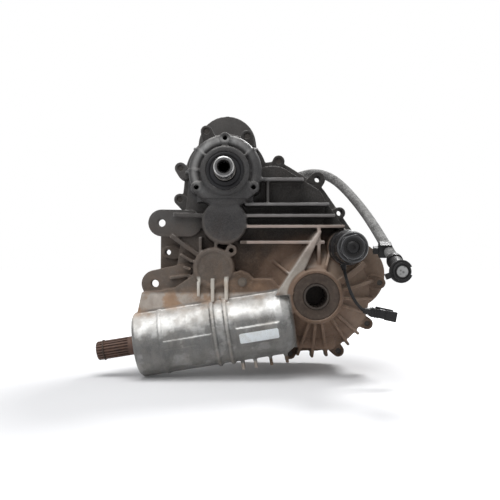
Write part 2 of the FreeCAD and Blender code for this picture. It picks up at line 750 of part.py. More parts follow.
# Rear case
top_housing_r = 45.0
top_housing_at = (-128.5, 229.5)
top_housing_front_y = 112.0
top_housing_back_y = 150.0
top_cover_thick = 3.0
top_screw_r = 2.5
top_screw_turns = (30.0, 75.0, 120.0, 165.0)
drain_at = (8.0, 112.0)
drain_z = 84.0
rear_face_y = rear_wall_y + wall
rear_boss_y = rear_face_y + 6.0


def build_rear_case():
    start = parting_y + gasket_thick
    solids = outline_solids(gearbox_outlines + axle_outlines, 0.0, start, rear_face_y)
    solids += outline_solids(gearbox_outlines + axle_outlines, flange_step, start, start + flange_thick)
    solids.append(cyl(flange_lobe[2], start, start + flange_thick, flange_lobe[:2]))
    solids += case_ears(start, start + flange_thick)
    solids.append(prism(left_web, start, start + flange_thick))

    # Round housing behind the clutch, and the tapered side of the differential
    housing = [(*top_housing_at, top_housing_r), (*shaft_in, 52.0)]
    solids.append(prism(housing, top_housing_front_y, top_housing_back_y))
    solids.append(turned([
        (0, start), (flange_lobe[2] - 6, start), (38, 120), (30, 140), (0, 140),
    ], (flange_lobe[0] - 8, flange_lobe[1])))
    solids.append(Part.makeCylinder(12.0, 24.0, V(*drain_at, -drain_z), V(0, 0, 1)))
    # Bearing bosses and ribs on the rear face
    for at, r in ((shaft_in, 30), (shaft_counter, 34), (shaft_mid, 34), (shaft_transfer, 34), (shaft_idler, 17)):
        solids.append(turned([
            (0, rear_wall_y), (r + 3, rear_wall_y), (r, rear_boss_y), (0, rear_boss_y),
        ], at))
    solids.append(turned([
        (0, rear_wall_y), (58, rear_wall_y), (axle_ring_r + 3, rear_axle_y - 4), (axle_ring_r, rear_axle_y),
        (0, rear_axle_y),
    ]))
    for turn in range(0, 360, 30):
        rib = [(axle_ring_r - 3, rear_wall_y), (axle_wall_r - 4, rear_wall_y), (axle_ring_r - 3, rear_axle_y - 3)]
        solids.append(profile_rib(rib, 4.0, turn + 15))
    for a, b in (
        (shaft_in, shaft_counter), (shaft_counter, shaft_mid), (shaft_counter, shaft_idler),
        (shaft_idler, shaft_transfer), (shaft_mid, shaft_transfer), (shaft_in, drum_at), (shaft_mid, drum_at),
    ):
        solids.append(plate_rib(a, b, 6.0, rear_wall_y, rear_boss_y - 1))
    case = fused(solids)

    hollow = outline_solids(gearbox_outlines + axle_outlines, -wall, start - 1, rear_wall_y)
    hollow.append(cyl(mid_wall_r - wall, start - 1, rear_wall_y, shaft_mid))
    case = case.cut(fused(hollow))
    seats = [
        cyl(bearing_small[1] + 6, rear_bearing_y, rear_wall_y + 1, shaft_in),
        cyl(bearing_medium[1] + 6, rear_bearing_y, rear_wall_y + 1, shaft_counter),
        cyl(bearing_medium[1] + 6, rear_bearing_y, rear_wall_y + 1, shaft_mid),
        cyl(bearing_medium[1] + 6, transfer_bearing_y - 1, rear_wall_y + 1, shaft_transfer),
        cyl(14.0, rear_bearing_y, rear_wall_y + 1, shaft_idler),
        cyl(12.0, rear_bearing_y, rear_wall_y + 1, fork_rail_at),
        cyl(14.0, rear_bearing_y, rear_wall_y + 1, drum_at),
        cyl(12.0, 84.0, rear_wall_y + 1, solenoid_at),
        cyl(bearing_axle[1] + 8, rear_bearing_y, rear_wall_y + 1),
    ]
    case = fused([case] + seats)
    bolt_room = [cyl(screw_head_r + 1.6, start + flange_thick, 96.0, at) for at in ears.values()]
    cuts = [
        cyl(bearing_small[1], rear_bearing_y - 1, rear_bearing_y + bearing_small[2], shaft_in),
        cyl(bearing_medium[1], rear_bearing_y - 1, rear_bearing_y + bearing_medium[2], shaft_counter),
        cyl(bearing_medium[1], rear_bearing_y - 1, rear_bearing_y + bearing_medium[2], shaft_mid),
        cyl(bearing_medium[1], transfer_bearing_y - 2, rear_bearing_y + bearing_medium[2], shaft_transfer),
        cyl(idler_pin_r, rear_bearing_y - 1, rear_wall_y, shaft_idler),
        cyl(fork_rail_r, rear_bearing_y - 1, rear_wall_y, fork_rail_at),
        cyl(drum_journal_r + running_gap, rear_bearing_y - 1, rear_boss_y + 1, drum_at),
        cyl(lock_rod_r + running_gap, 83.0, rear_wall_y, solenoid_at),
        cyl(top_housing_r - 11, top_housing_front_y + wall, top_housing_back_y + 1, top_housing_at),
        Part.makeCylinder(plug_r, 30.0, V(*drain_at, -drain_z - 1), V(0, 0, 1)),
        cyl(bearing_axle[1], rear_axle_y - 24, rear_axle_y - 10),
        cyl(axle_seal_r, rear_axle_y - 10, rear_axle_y + 1),
        cyl(bearing_axle[1] - 6, rear_bearing_y - 1, rear_axle_y - 23),
    ] + bolt_room + ear_holes(start - 1, start + 30)
    for turn in top_screw_turns:
        at = from_point(*top_housing_at, top_housing_r - 6, turn)
        cuts.append(cyl(top_screw_r, top_housing_back_y - 12, top_housing_back_y + 1, at))
    return case.cut(fused(cuts))


def build_gasket():
    start = parting_y
    outer = outline_solids(gearbox_outlines + axle_outlines, flange_step - 0.6, start, start + gasket_thick)
    inner = outline_solids(gearbox_outlines + axle_outlines, -wall, start - 1, start + 2)
    inner.append(cyl(mid_wall_r - wall, start - 1, start + 2, shaft_mid))
    return fused(outer).cut(fused(inner)).cut(fused(ear_holes(start - 1, start + 2)))


def bearing(size, y0, at, mirror=False):
    """A sealed ball bearing: the sunk seal face on both sides shows the two races."""
    r_in, r_out, width = size[0] + running_gap, size[1] - press_gap, size[2]
    race = (r_out - r_in) * 0.22
    body = ring(r_in, r_out, y0, y0 + width, at)
    for face in (y0 - 1, y0 + width - 0.8):
        body = body.cut(ring(r_in + race, r_out - race, face, face + 1.8, at))
    return body


def seal(r_in, r_out, y0, width, at=(0.0, 0.0)):
    """A lip seal: steel can outside, dished rubber face and a thin lip."""
    return turned([
        (r_in, y0 + 2.5), (r_in + 1.0, y0 + 1.2), (r_in + 6, y0 + 1.6), (r_out - 4, y0 + 0.3), (r_out - 2, y0),
        (r_out, y0 + 0.8), (r_out, y0 + width), (r_out - 3, y0 + width), (r_out - 3, y0 + 4),
        (r_in + 5, y0 + 4), (r_in + 2, y0 + width - 1), (r_in, y0 + width - 1),
    ], at)


def splined(teeth, r_root, r_tip, y0, y1, at=(0.0, 0.0), grow=0.0, fill=0.5):
    """A straight-sided spline body; the same body, grown, cuts the spline of what slides on it."""
    points = []
    for i in range(teeth):
        centre = 2 * math.pi * i / teeth
        wide = fill * math.pi / teeth
        low, high = r_root + grow, r_tip + grow
        side = wide + grow / low
        for r, a in ((low, -side), (high, -side * 0.8), (high, side * 0.8), (low, side)):
            points.append(V(at[0] + r * math.cos(centre + a), y0, at[1] + r * math.sin(centre + a)))
    return Part.Face(Part.makePolygon(points + points[:1])).extrude(V(0, y1 - y0, 0))


# Gear phases, from the input shaft through every mesh
phase_high = 0.0
phase_counter_high = tooth_phase(shaft_in, shaft_counter, high_pinion_teeth, high_gear_teeth, phase_high)
phase_counter_low = tooth_phase(shaft_in, shaft_counter, low_pinion_teeth, low_gear_teeth, phase_high)
phase_counter = 0.0
phase_mid = tooth_phase(shaft_counter, shaft_mid, drive_pinion_teeth, drive_gear_teeth, phase_counter)
phase_final = 0.0
phase_ring = tooth_phase(shaft_mid, axle, final_pinion_teeth, ring_teeth, phase_final)
phase_transfer = tooth_phase(axle, shaft_transfer, ring_teeth, transfer_teeth, phase_ring)
phase_idler = tooth_phase(shaft_counter, shaft_idler, reverse_pinion_teeth, idler_teeth, phase_counter)
phase_reverse = tooth_phase(shaft_idler, shaft_mid, idler_teeth, reverse_gear_teeth, phase_idler)

# Dog collar on the counter shaft: six dogs that drop between six dogs on the high gear
dog_count = 6
dog_r_in, dog_r_out = 22.0, 30.0
dog_high = 4.0
collar_width = 12.0
collar_travel = 6.0
collar_spline_teeth = 16
collar_spline_r = (15.0, 17.0)
collar_groove_r = 28.0
collar_out_r = 33.0
fork_thick = 4.6
gear_journal_r = 17.0
low_journal_r = 14.0


def dogs(count, r_in, r_out, y0, high, at, turn_deg=0.0, share=0.42):
    """Dog teeth: sectors of a ring, each a share of its pitch."""
    whole = ring(r_in, r_out, y0, y0 + high, at)
    keep = []
    half = 180.0 / count * share
    reach = r_out * 1.6
    for i in range(count):
        middle = turn_deg + 360.0 * i / count
        a = from_point(*at, reach, middle - half)
        b = from_point(*at, reach, middle + half)
        wedge = Part.makePolygon([V(at[0], y0, at[1]), V(a[0], y0, a[1]), V(b[0], y0, b[1]), V(at[0], y0, at[1])])
        keep.append(Part.Face(wedge).extrude(V(0, high, 0)))
    return whole.common(fused(keep))


def build_input_shaft():
    low_r = module * low_pinion_teeth / 2
    nose_y = input_shaft_end_y + input_nose_chamfer
    body = turned([
        (0, input_shaft_end_y), (input_nose_r - input_nose_chamfer, input_shaft_end_y), (input_nose_r, nose_y),
        (input_nose_r, nose_y + input_nose_long), (input_shaft_r, nose_y + input_nose_long),
        (input_shaft_r, 30), (low_r - 6, 30), (low_r - 6, low_y), (low_r - 4, low_y), (low_r - 4, low_y + gear_width),
        (15.5, low_y + gear_width), (15.5, high_y), (low_r - 4, high_y), (low_r - 4, high_y + gear_width),
        (13, high_y + gear_width), (13, rear_bearing_y - 1), (bearing_small[0], rear_bearing_y - 1),
        (bearing_small[0], rear_bearing_y + bearing_small[2]), (0, rear_bearing_y + bearing_small[2]),
    ], shaft_in)
    low = spur_blank(low_pinion_teeth, shaft_in, phase_high, low_y, gear_width)
    high = spur_blank(high_pinion_teeth, shaft_in, phase_high, high_y, gear_width)
    body = fused([body, low, high])
    return body.cut(turned([
        (0, input_shaft_end_y - 1), (9.5, input_shaft_end_y - 1), (7, input_shaft_end_y + 2.5), (7, 20), (0, 24),
    ], shaft_in))


def build_counter_shaft():
    journal = bearing_medium[0]
    stop_y = low_y + gear_width + 0.4
    spline_floor = collar_spline_r[0] - 0.15
    body = turned([
        (0, front_bearing_y), (journal, front_bearing_y), (journal, front_bearing_y + bearing_medium[2]),
        (low_journal_r, front_bearing_y + bearing_medium[2]), (low_journal_r, stop_y), (spline_floor, stop_y),
        (spline_floor, high_y - 1), (gear_journal_r, high_y - 1), (gear_journal_r, drive_y),
        (gear_journal_r + 8, drive_y), (gear_journal_r + 8, drive_y + gear_width), (16, drive_y + gear_width),
        (16, rear_bearing_y), (journal, rear_bearing_y), (journal, rear_bearing_y + bearing_medium[2]),
        (0, rear_bearing_y + bearing_medium[2]),
    ], shaft_counter)
    spline = splined(collar_spline_teeth, *collar_spline_r, stop_y, high_y - 0.5, shaft_counter)
    drive = spur_blank(drive_pinion_teeth, shaft_counter, phase_counter, drive_y, gear_width)
    reverse = spur_blank(reverse_pinion_teeth, shaft_counter, phase_counter, reverse_y, reverse_width)
    return fused([body, spline, drive, reverse])


def build_high_gear():
    gear = spur_blank(high_gear_teeth, shaft_counter, phase_counter_high, high_y, gear_width)
    gear = lightened(gear, shaft_counter, high_y, gear_width, gear_journal_r + running_gap, 31, 39, 0)
    face = dogs(dog_count, dog_r_in, dog_r_out, high_y - dog_high, dog_high + 1, shaft_counter, 180.0 / dog_count)
    return fused([gear, face])


def build_low_gear():
    gear = spur_blank(low_gear_teeth, shaft_counter, phase_counter_low, low_y, gear_width)
    gear = lightened(gear, shaft_counter, low_y, gear_width, low_journal_r + running_gap, 24, 41, 6)
    face = ring(low_journal_r + 4, 22.0, low_y + gear_width - 1, low_y + gear_width + 1.4, shaft_counter)
    return fused([gear, face])


def build_dog_collar():
    """Rest is High: its dogs stand between the high gear's, and Neutral is the whole travel forwards."""
    end = high_y - 0.6
    start = end - dog_high + 0.4 - collar_width
    body = ring(collar_spline_r[0] - 1, collar_out_r, start, start + collar_width, shaft_counter)
    teeth = dogs(dog_count, dog_r_in, dog_r_out, start + collar_width - 1, dog_high + 0.6, shaft_counter)
    body = fused([body, teeth])
    groove_y = start + (collar_width - fork_thick - 0.8) / 2
    body = body.cut(ring(collar_groove_r, collar_out_r + 1, groove_y, groove_y + fork_thick + 0.8, shaft_counter))
    spline = splined(collar_spline_teeth, *collar_spline_r, start - 1, end + 1, shaft_counter, 0.06)
    return body.cut(spline), groove_y + 0.4


def build_intermediate_shaft():
    small, medium = bearing_small, bearing_medium
    tooth_floor = module * (final_pinion_teeth / 2 - 1.25) - 0.2
    shoulder_y = final_y + final_width + 0.6
    body = turned([
        (0, 44), (small[0], 44), (small[0], 44 + small[2]), (13, 44 + small[2]), (13, final_y),
        (tooth_floor, final_y), (tooth_floor, shoulder_y), (17, shoulder_y), (17, final_y + final_width + 3), (15, final_y + final_width + 3), (15, reverse_y - 3), (14, reverse_y - 3),
        (14, rear_bearing_y), (medium[0], rear_bearing_y), (medium[0], rear_bearing_y + medium[2]),
        (0, rear_bearing_y + medium[2]),
    ], shaft_mid)
    pinion = spur_blank(final_pinion_teeth, shaft_mid, phase_final, final_y, final_width)
    return fused([body, pinion])


def build_intermediate_gear():
    gear = spur_blank(drive_gear_teeth, shaft_mid, phase_mid, drive_y, gear_width)
    return lightened(gear, shaft_mid, drive_y, gear_width, 15.0 + press_gap / 2, 24, 46, 6)


def build_reverse_gear():
    gear = spur_blank(reverse_gear_teeth, shaft_mid, phase_reverse, reverse_y, reverse_width)
    return lightened(gear, shaft_mid, reverse_y, reverse_width, 14.0 + running_gap, 22, 38, 6)


def build_idler():
    gear = spur_blank(idler_teeth, shaft_idler, phase_idler, reverse_y, reverse_width)
    gear = lightened(gear, shaft_idler, reverse_y, reverse_width, idler_pin_r + running_gap, 16, 35, 6)
    hub = ring(idler_pin_r + running_gap, 13.0, reverse_y - 60, rear_bearing_y - 0.4, shaft_idler)
    return fused([gear, hub])


# Differential: carrier, two side gears and two spider gears on a cross pin
diff_y = 66.0
side_teeth, spider_teeth = 16, 10
diff_module = 2.5
diff_face = 8.0
carrier_r_in, carrier_r_out = 28.0, 36.0
carrier_front_y = 40.0
carrier_flange_r = 52.0
carrier_flange_y = final_y - 6.0
ring_seat_r = 44.0
ring_bolt_pitch_r = 48.0
ring_bolt_count = 8
cross_pin_r = 5.0
side_back = 5.0
spider_back = 4.0
lock_dogs = 4
lock_dog_r = (23.5, 30.0)
lock_dog_high = 5.0
lock_travel = 4.6
lock_spline_teeth = 12
lock_spline_r = (18.6, 20.4)
lock_collar_width = 7.4
lock_collar_y = carrier_front_y - lock_dog_high - 2.0 - 3.0 - lock_collar_width


def bevel_back(teeth, mate, back):
    """Distance from the apex to the back of a bevel gear."""
    cone = math.atan2(teeth, mate)
    return diff_module * teeth / 2 / math.tan(cone) + 1.2 * diff_module * math.sin(cone) + back


def build_carrier():
    seat = bevel_back(side_teeth, spider_teeth, side_back) + 0.05
    front_in, rear_in = diff_y - seat, diff_y + seat
    body = turned([
        (0, carrier_front_y), (carrier_r_out - 2, carrier_front_y), (carrier_r_out, carrier_front_y + 2),
        (carrier_r_out, carrier_flange_y), (carrier_flange_r, carrier_flange_y), (carrier_flange_r, final_y),
        (ring_seat_r, final_y), (ring_seat_r, final_y + final_width), (24, final_y + final_width + 2),
        (22.8, final_y + final_width + 3), (22.8, rear_axle_y - 24.5), (0, rear_axle_y - 24.5),
    ])
    room = turned([(0, front_in), (carrier_r_in, front_in), (carrier_r_in, rear_in), (0, rear_in)])
    body = body.cut(room).cut(cyl(hub_r + running_gap, carrier_front_y - 1, rear_axle_y))
    pin = Part.makeCylinder(cross_pin_r, 2 * carrier_r_out + 4, V(0, diff_y, -carrier_r_out - 2), V(0, 0, 1))
    windows = Part.makeBox(2 * carrier_r_out + 4, 26, 34, V(-carrier_r_out - 2, diff_y - 13, -17))
    windows = windows.makeFillet(6, [e for e in windows.Edges if abs(e.tangentAt(e.FirstParameter).x) > 0.99])
    inner = cyl(carrier_r_in - 6, diff_y - 14, diff_y + 14)
    body = body.cut(pin).cut(windows.cut(inner))
    for i in range(ring_bolt_count):
        at = from_point(*axle, ring_bolt_pitch_r, 360.0 * i / ring_bolt_count)
        body = body.cut(cyl(3.0, carrier_flange_y - 1, final_y + 1, at))
    lugs = dogs(lock_dogs, *lock_dog_r, carrier_front_y - lock_dog_high, lock_dog_high + 1, axle, 45.0)
    return fused([body, lugs])


def build_ring_gear():
    gear = spur_blank(ring_teeth, axle, phase_ring, final_y, final_width)
    gear = gear.cut(cyl(ring_seat_r + press_gap / 2, final_y - 1, final_y + final_width + 1))
    for i in range(ring_bolt_count):
        at = from_point(*axle, ring_bolt_pitch_r, 360.0 * i / ring_bolt_count)
        gear = gear.cut(cyl(3.0, final_y - 1, final_y + final_width - 4, at))
    return gear


def side_gear(front):
    """A side gear and its hollow hub, which reaches the mouth of the axle bore."""
    gear = bevel_gear(side_teeth, spider_teeth, diff_module, diff_face, side_back, 0.0, 0.3)
    mouth = 0.0 if front else rear_axle_y + 2.0
    back = bevel_back(side_teeth, spider_teeth, side_back)
    gear = turned_to(gear, V(0, -1 if front else 1, 0), V(0, diff_y, 0))
    start, stop = (mouth, diff_y - back + 0.5) if front else (diff_y + back - 0.5, mouth)
    hub = cyl(hub_r, start, stop)
    solids = [gear, hub]
    if front:
        solids.append(splined(lock_spline_teeth, *lock_spline_r, 22.2, 38.0))
    body = fused(solids)
    way = 1 if front else -1
    bore_end = mouth + way * (diff_y - back - 3.0)
    lo, hi = min(mouth - way, bore_end), max(mouth - way, bore_end)
    body = body.cut(cyl(hub_bore_r - 1.6, lo, hi))
    lo, hi = min(mouth - way, mouth + way * hub_pilot_deep), max(mouth - way, mouth + way * hub_pilot_deep)
    body = body.cut(cyl(hub_bore_r, lo, hi))
    spline_end = mouth + way * (hub_pilot_deep + 22.0)
    lo, hi = min(mouth + way * hub_pilot_deep, spline_end), max(mouth + way * hub_pilot_deep, spline_end)
    return body.cut(splined(18, hub_bore_r - 1.6, hub_bore_r - 0.2, lo, hi))


def spider_gear(up):
    gear = bevel_gear(spider_teeth, side_teeth, diff_module, diff_face, spider_back, math.pi / spider_teeth, 0.3)
    gear = gear.cut(Part.makeCylinder(cross_pin_r + running_gap, 60, V(0, 0, -5), V(0, 0, 1)))
    if not up:
        gear.rotate(V(0, 0, 0), V(0, 1, 0), 180)
    gear.translate(V(0, diff_y, 0))
    return gear


def build_lock_collar():
    body = ring(10.0, lock_dog_r[1], lock_collar_y, lock_collar_y + lock_collar_width)
    body = body.cut(ring(lock_dog_r[1] - 4, lock_dog_r[1] + 1, lock_collar_y + 2.2, lock_collar_y + 5.8))
    lugs = dogs(lock_dogs, *lock_dog_r, lock_collar_y + lock_collar_width - 0.5, 3.5, axle, 0.0)
    body = fused([body, lugs])
    return body.cut(splined(lock_spline_teeth, *lock_spline_r, lock_collar_y - 2, lock_collar_y + 20, axle, 0.06))


def build_lock_fork():
    """The rod from the solenoid and the stepped arm that rides in the lock collar's groove."""
    turn = math.degrees(math.atan2(solenoid_at[1], solenoid_at[0]))
    reach = math.hypot(*solenoid_at)
    arm = [
        (reach, 56.0), (reach, 62.0), (39.5, 62.0), (39.5, lock_collar_y + 5.4), (27.0, lock_collar_y + 5.4),
        (27.0, lock_collar_y + 2.6), (42.5, lock_collar_y + 2.6), (43.0, 46.0), (56.0, 56.0),
    ]
    fork = profile_rib(arm, 10.0, turn)
    shoe = ring(26.6, 35.0, lock_collar_y + 2.6, lock_collar_y + 5.4)
    a, b = from_point(*axle, 70.0, turn - 50), from_point(*axle, 70.0, turn + 50)
    wedge = Part.makePolygon([V(0, 0, 0), V(a[0], 0, a[1]), V(b[0], 0, b[1]), V(0, 0, 0)])
    shoe = shoe.common(Part.Face(wedge).extrude(V(0, 60, 0)))
    hub = cyl(9.0, 55.0, 65.0, solenoid_at)
    return fused([fork, shoe, hub]).cut(cyl(lock_rod_r + press_gap / 2, 50, 70, solenoid_at))


# Transfer shaft and the bevel pair in the snorkel
bevel_module = 3.0
bevel_shaft_r = 12.5


def build_transfer_shaft():
    medium = bearing_medium
    end = rear_bearing_y + medium[2]
    body = turned([
        (0, snorkel_y + 15), (bevel_shaft_r - 1, snorkel_y + 15), (bevel_shaft_r, snorkel_y + 16),
        (bevel_shaft_r, snorkel_y + 36), (15, snorkel_y + 36.4), (15, final_y + 2),
        (20, final_y + 2), (20, final_y + final_width + 2), (15, final_y + final_width + 2),
        (15, transfer_bearing_y), (medium[0], transfer_bearing_y), (medium[0], end), (0, end),
    ], shaft_transfer)
    return fused([body, spur_blank(transfer_teeth, shaft_transfer, phase_transfer, final_y, final_width)])


def build_transfer_bevel():
    dx, dz = snorkel_point(1.0)[0] - shaft_transfer[0], snorkel_point(1.0)[1] - shaft_transfer[1]
    gear = bevel_gear(bevel_teeth, bevel_teeth, bevel_module, bevel_width, 6.0, math.atan2(dx, -dz), 0.3)
    gear.rotate(V(0, 0, 0), V(1, 0, 0), -90)
    gear.translate(V(shaft_transfer[0], snorkel_y, shaft_transfer[1]))
    return gear.cut(cyl(bevel_shaft_r + press_gap / 2, snorkel_y, snorkel_y + 60, shaft_transfer))


def build_output_shaft():
    gear = bevel_gear(bevel_teeth, bevel_teeth, bevel_module, bevel_width, 5.0, math.pi / bevel_teeth, 0.3)
    gear.rotate(V(0, 0, 0), V(0, 1, 0), 90)
    r = output_journal_r
    seat_a, seat_b = output_seats
    spline_start = snorkel_mouth + 14.0
    shaft = along_x([
        (30, 0), (30, 20), (50, 20), (52, 18), (seat_a, 18), (seat_a, r), (seat_a + 16, r), (seat_a + 17, 17),
        (seat_b - 1, 17), (seat_b, r), (snorkel_mouth + 4, r), (snorkel_mouth + 5, r - 1.6),
        (spline_start - 3, r - 1.6), (spline_start, output_spline_r - 1.5), (output_end - 2, output_spline_r - 1.5),
        (output_end, output_spline_r - 3.2), (output_end, 0),
    ])
    spline = splined(output_spline_teeth, output_spline_r - 1.8, output_spline_r, 0, output_end - spline_start + 5)
    spline.rotate(V(0, 0, 0), V(0, 0, 1), -90)
    spline.translate(V(spline_start - 5, 0, 0))
    trim = along_x([
        (spline_start - 6, 0), (spline_start - 6, r - 2), (spline_start, output_spline_r + 0.5),
        (output_end - 2, output_spline_r + 0.5), (output_end, output_spline_r - 1.5), (output_end, 0),
    ])
    groove = along_x([
        (output_end - 11, output_spline_r - 2.2), (output_end - 11, 30), (output_end - 9, 30),
        (output_end - 9, output_spline_r - 2.2),
    ])
    whole = fused([gear, shaft, spline.common(trim)]).cut(groove)
    return in_snorkel(whole)


def along_snorkel(shape, along):
    """Places a shape made along +Y at the origin so that it lies on the snorkel axis."""
    moved = shape.copy()
    moved.rotate(V(0, 0, 0), V(0, 0, 1), -90)
    moved.translate(V(along, 0, 0))
    return in_snorkel(moved)


# Shifting: drum with a helical groove, fork on its rail, lever outside
drum_groove = 6.6
drum_groove_deep = 3.6
drum_turn_deg = 60.0
drum_y = (60.0, 100.0)


def build_drum(pin_y):
    body = turned([
        (0, 45), (drum_journal_r, 45), (drum_journal_r, drum_y[0] - 6), (drum_r, drum_y[0] - 6),
        (drum_r, drum_y[1]), (drum_journal_r, drum_y[1]), (drum_journal_r, rear_face_y + 22),
        (drum_journal_r - 1, rear_face_y + 23), (0, rear_face_y + 23),
    ], drum_at)
    pitch = collar_travel * 360.0 / drum_turn_deg
    over = 22.0
    span = drum_turn_deg + 2 * over
    helix = Part.makeHelix(pitch, pitch * span / 360.0, drum_r - drum_groove_deep / 2)
    start = V(drum_r - drum_groove_deep / 2, 0, 0)
    half = drum_groove / 2
    rise = math.atan(pitch / (2 * math.pi * drum_r))
    across = V(0, -math.sin(rise), math.cos(rise)) * half
    out = V(drum_groove_deep / 2 + 3, 0, 0)
    back = V(-drum_groove_deep / 2, 0, 0)
    points = [start + back - across, start + out - across, start + out + across, start + back + across]
    section = Part.makePolygon(points + points[:1])
    groove = Part.Wire(helix.Edges).makePipeShell([section], True, True)
    # the helix climbs along +Z: lay it along Y with the resting point facing the fork's pin
    facing = math.degrees(math.atan2(fork_rail_at[1] - drum_at[1], fork_rail_at[0] - drum_at[0]))
    groove.translate(V(0, 0, -pitch * over / 360.0))
    groove.rotate(V(0, 0, 0), V(0, 0, 1), -over)
    groove.rotate(V(0, 0, 0), V(1, 0, 0), 90)
    groove.rotate(V(0, 0, 0), V(0, 1, 0), -facing)
    groove.translate(V(drum_at[0], pin_y, drum_at[1]))
    return body.cut(groove)


def build_fork(groove_y):
    """Hub on the rail, arm to the collar's groove and the pin that follows the drum."""
    at = fork_rail_at
    mid_y = groove_y + fork_thick / 2
    hub = ring(fork_rail_r + running_gap, 10.0, mid_y - 14, mid_y + 14, at)
    turn = math.atan2(shaft_counter[1] - at[1], shaft_counter[0] - at[0])
    shoe = ring(collar_groove_r + 0.3, collar_out_r + 7, groove_y, groove_y + fork_thick, shaft_counter)
    back = math.degrees(turn) + 180.0
    a = from_point(*shaft_counter, 90.0, back - 78)
    b = from_point(*shaft_counter, 90.0, back + 78)
    c = from_point(*shaft_counter, 90.0, back)
    cx, cz = shaft_counter
    wedge = Part.makePolygon([V(cx, 0, cz), V(a[0], 0, a[1]), V(c[0], 0, c[1]), V(b[0], 0, b[1]), V(cx, 0, cz)])
    shoe = shoe.common(Part.Face(wedge).extrude(V(0, 120, 0)))
    near = from_point(*shaft_counter, collar_out_r + 3, back)
    arm = prism([(*near, 9.0), (*at, 9.6)], groove_y, groove_y + fork_thick)
    arm = arm.cut(cyl(collar_out_r + 1, groove_y - 1, groove_y + fork_thick + 1, shaft_counter))
    arm = arm.cut(cyl(fork_rail_r + running_gap, groove_y - 1, groove_y + fork_thick + 1, at))
    dx, dz = drum_at[0] - at[0], drum_at[1] - at[1]
    d = math.hypot(dx, dz)
    way = V(dx / d, 0, dz / d)
    pin = Part.makeCylinder(3.0, d - drum_r + drum_groove_deep - 0.4 - 8.5, V(at[0], mid_y, at[1]) + way * 8.5, way)
    return fused([hub, shoe, arm, pin]).cut(cyl(fork_rail_r + running_gap, mid_y - 20, mid_y + 20, at)), mid_y


def hex_head(at, y0, y1, across, turn_deg=0.0):
    points = []
    for i in range(6):
        p = from_point(*at, across / math.sqrt(3.0), 60.0 * i + turn_deg)
        points.append(V(p[0], y0, p[1]))
    return Part.Face(Part.makePolygon(points + points[:1])).extrude(V(0, y1 - y0, 0))


def flange_bolt(at, under_y, length, way=1):
    """A hex bolt with a washer face; way 1 drives it towards +Y, -1 towards -Y."""
    head = hex_head((0, 0), -screw_head_high, 0, 2 * screw_head_r - 1.0, 15.0)
    dome = turned([
        (0, -screw_head_high - 1), (screw_head_r - 1.5, -screw_head_high - 1), (screw_head_r + 1, -screw_head_high + 3),
        (screw_head_r + 1, 1), (0, 1),
    ])
    bolt = fused([head.common(dome), cyl(screw_head_r + 0.8, -1.2, 0), cyl(screw_r, -0.5, length)])
    if way < 0:
        bolt.rotate(V(0, 0, 0), V(0, 0, 1), 180)
    bolt.translate(V(at[0], under_y, at[1]))
    return bolt


lever_length = 62.0
lever_turn_deg = 260.0


def build_lever():
    y0 = rear_face_y + 6.0
    tip = from_point(*drum_at, lever_length, lever_turn_deg)
    blade = prism([(*drum_at, 13.0), (*tip, 9.0)], y0 + 4, y0 + 9)
    hub = cyl(14.0, y0, y0 + 12, drum_at)
    blade = fused([blade, hub]).cut(cyl(4.0, y0, y0 + 12, tip))
    return blade.cut(cyl(drum_journal_r + press_gap / 2, y0 - 1, y0 + 13, drum_at))


# Gear position sensor on the rear face, with its loom, elbow connector, lock ring and clip
sensor_at = (-62.0, 170.0)
sensor_r = 14.0
sensor_back_y = 209.0
loom_r = 7.25
loom_points = (
    (-32.0, 200.0, 181.0),
    (-3.4, 197.5, 193.5),
    (21.5, 187.5, 194.8),
    (43.5, 168.0, 183.5),
    (61.0, 139.0, 162.0),
    (75.0, 96.0, 134.9),
    (83.9, 42.0, 107.4),
    (90.5, -14.0, 78.0),
    (94.8, -62.0, 53.8),
)
lead_r = 2.2
lead_points = (
    (40.0, 16.0, 42.5),
    (40.6, 9.0, 35.5),
    (41.8, 2.5, 27.0),
    (43.8, -2.5, 17.0),
    (47.0, -6.5, 6.5),
    (51.5, -9.5, -3.5),
    (57.0, -11.5, -12.0),
    (63.5, -12.4, -18.0),
)
lead_connector_turn_deg = 11.8
connector_face = (97.2, -104.0, 38.6)
connector_r = 11.5
lock_ring_y = (-99.0, -92.0)
clip_from_bend = 27.0
cord_gap = 0.1


def build_solenoid():
    at = solenoid_at
    r = solenoid_r
    can_r = solenoid_can_r
    body = turned([
        (0, solenoid_front_y + 4), (can_r - 2.4, solenoid_front_y + 4), (can_r - 1.2, solenoid_front_y + 5),
        (can_r, solenoid_front_y + 9), (can_r, -10), (r - 1, -8), (r, -6.5), (r, 12), (r - 1.5, 13),
        (r - 1.5, 17), (r, 18), (r, solenoid_seat_y), (0, solenoid_seat_y),
    ], at)
    body = body.cut(ring(r - 1.2, r + 3, 3, 4.5, at)).cut(ring(can_r - 1.2, r + 3, -34, -32.5, at))
    leaves = V(*lead_points[0])
    way = (leaves - V(*lead_points[1])).normalize()
    body = body.fuse(Part.makeCylinder(2 * lead_r, 7.0, leaves, way)).removeSplitter()
    return body.cut(cyl(lock_rod_r + 0.5, -10, solenoid_seat_y + 1, at))


def build_solenoid_nut():
    at = solenoid_at
    nut = hex_head(at, solenoid_front_y, solenoid_front_y + 4, 32.0, 15.0)
    trim = turned([
        (0, solenoid_front_y), (15.5, solenoid_front_y), (18.6, solenoid_front_y + 2.2),
        (18.6, solenoid_front_y + 4), (0, solenoid_front_y + 4),
    ], at)
    return nut.common(trim).cut(cyl(9.0, solenoid_front_y - 1, solenoid_front_y + 5, at))


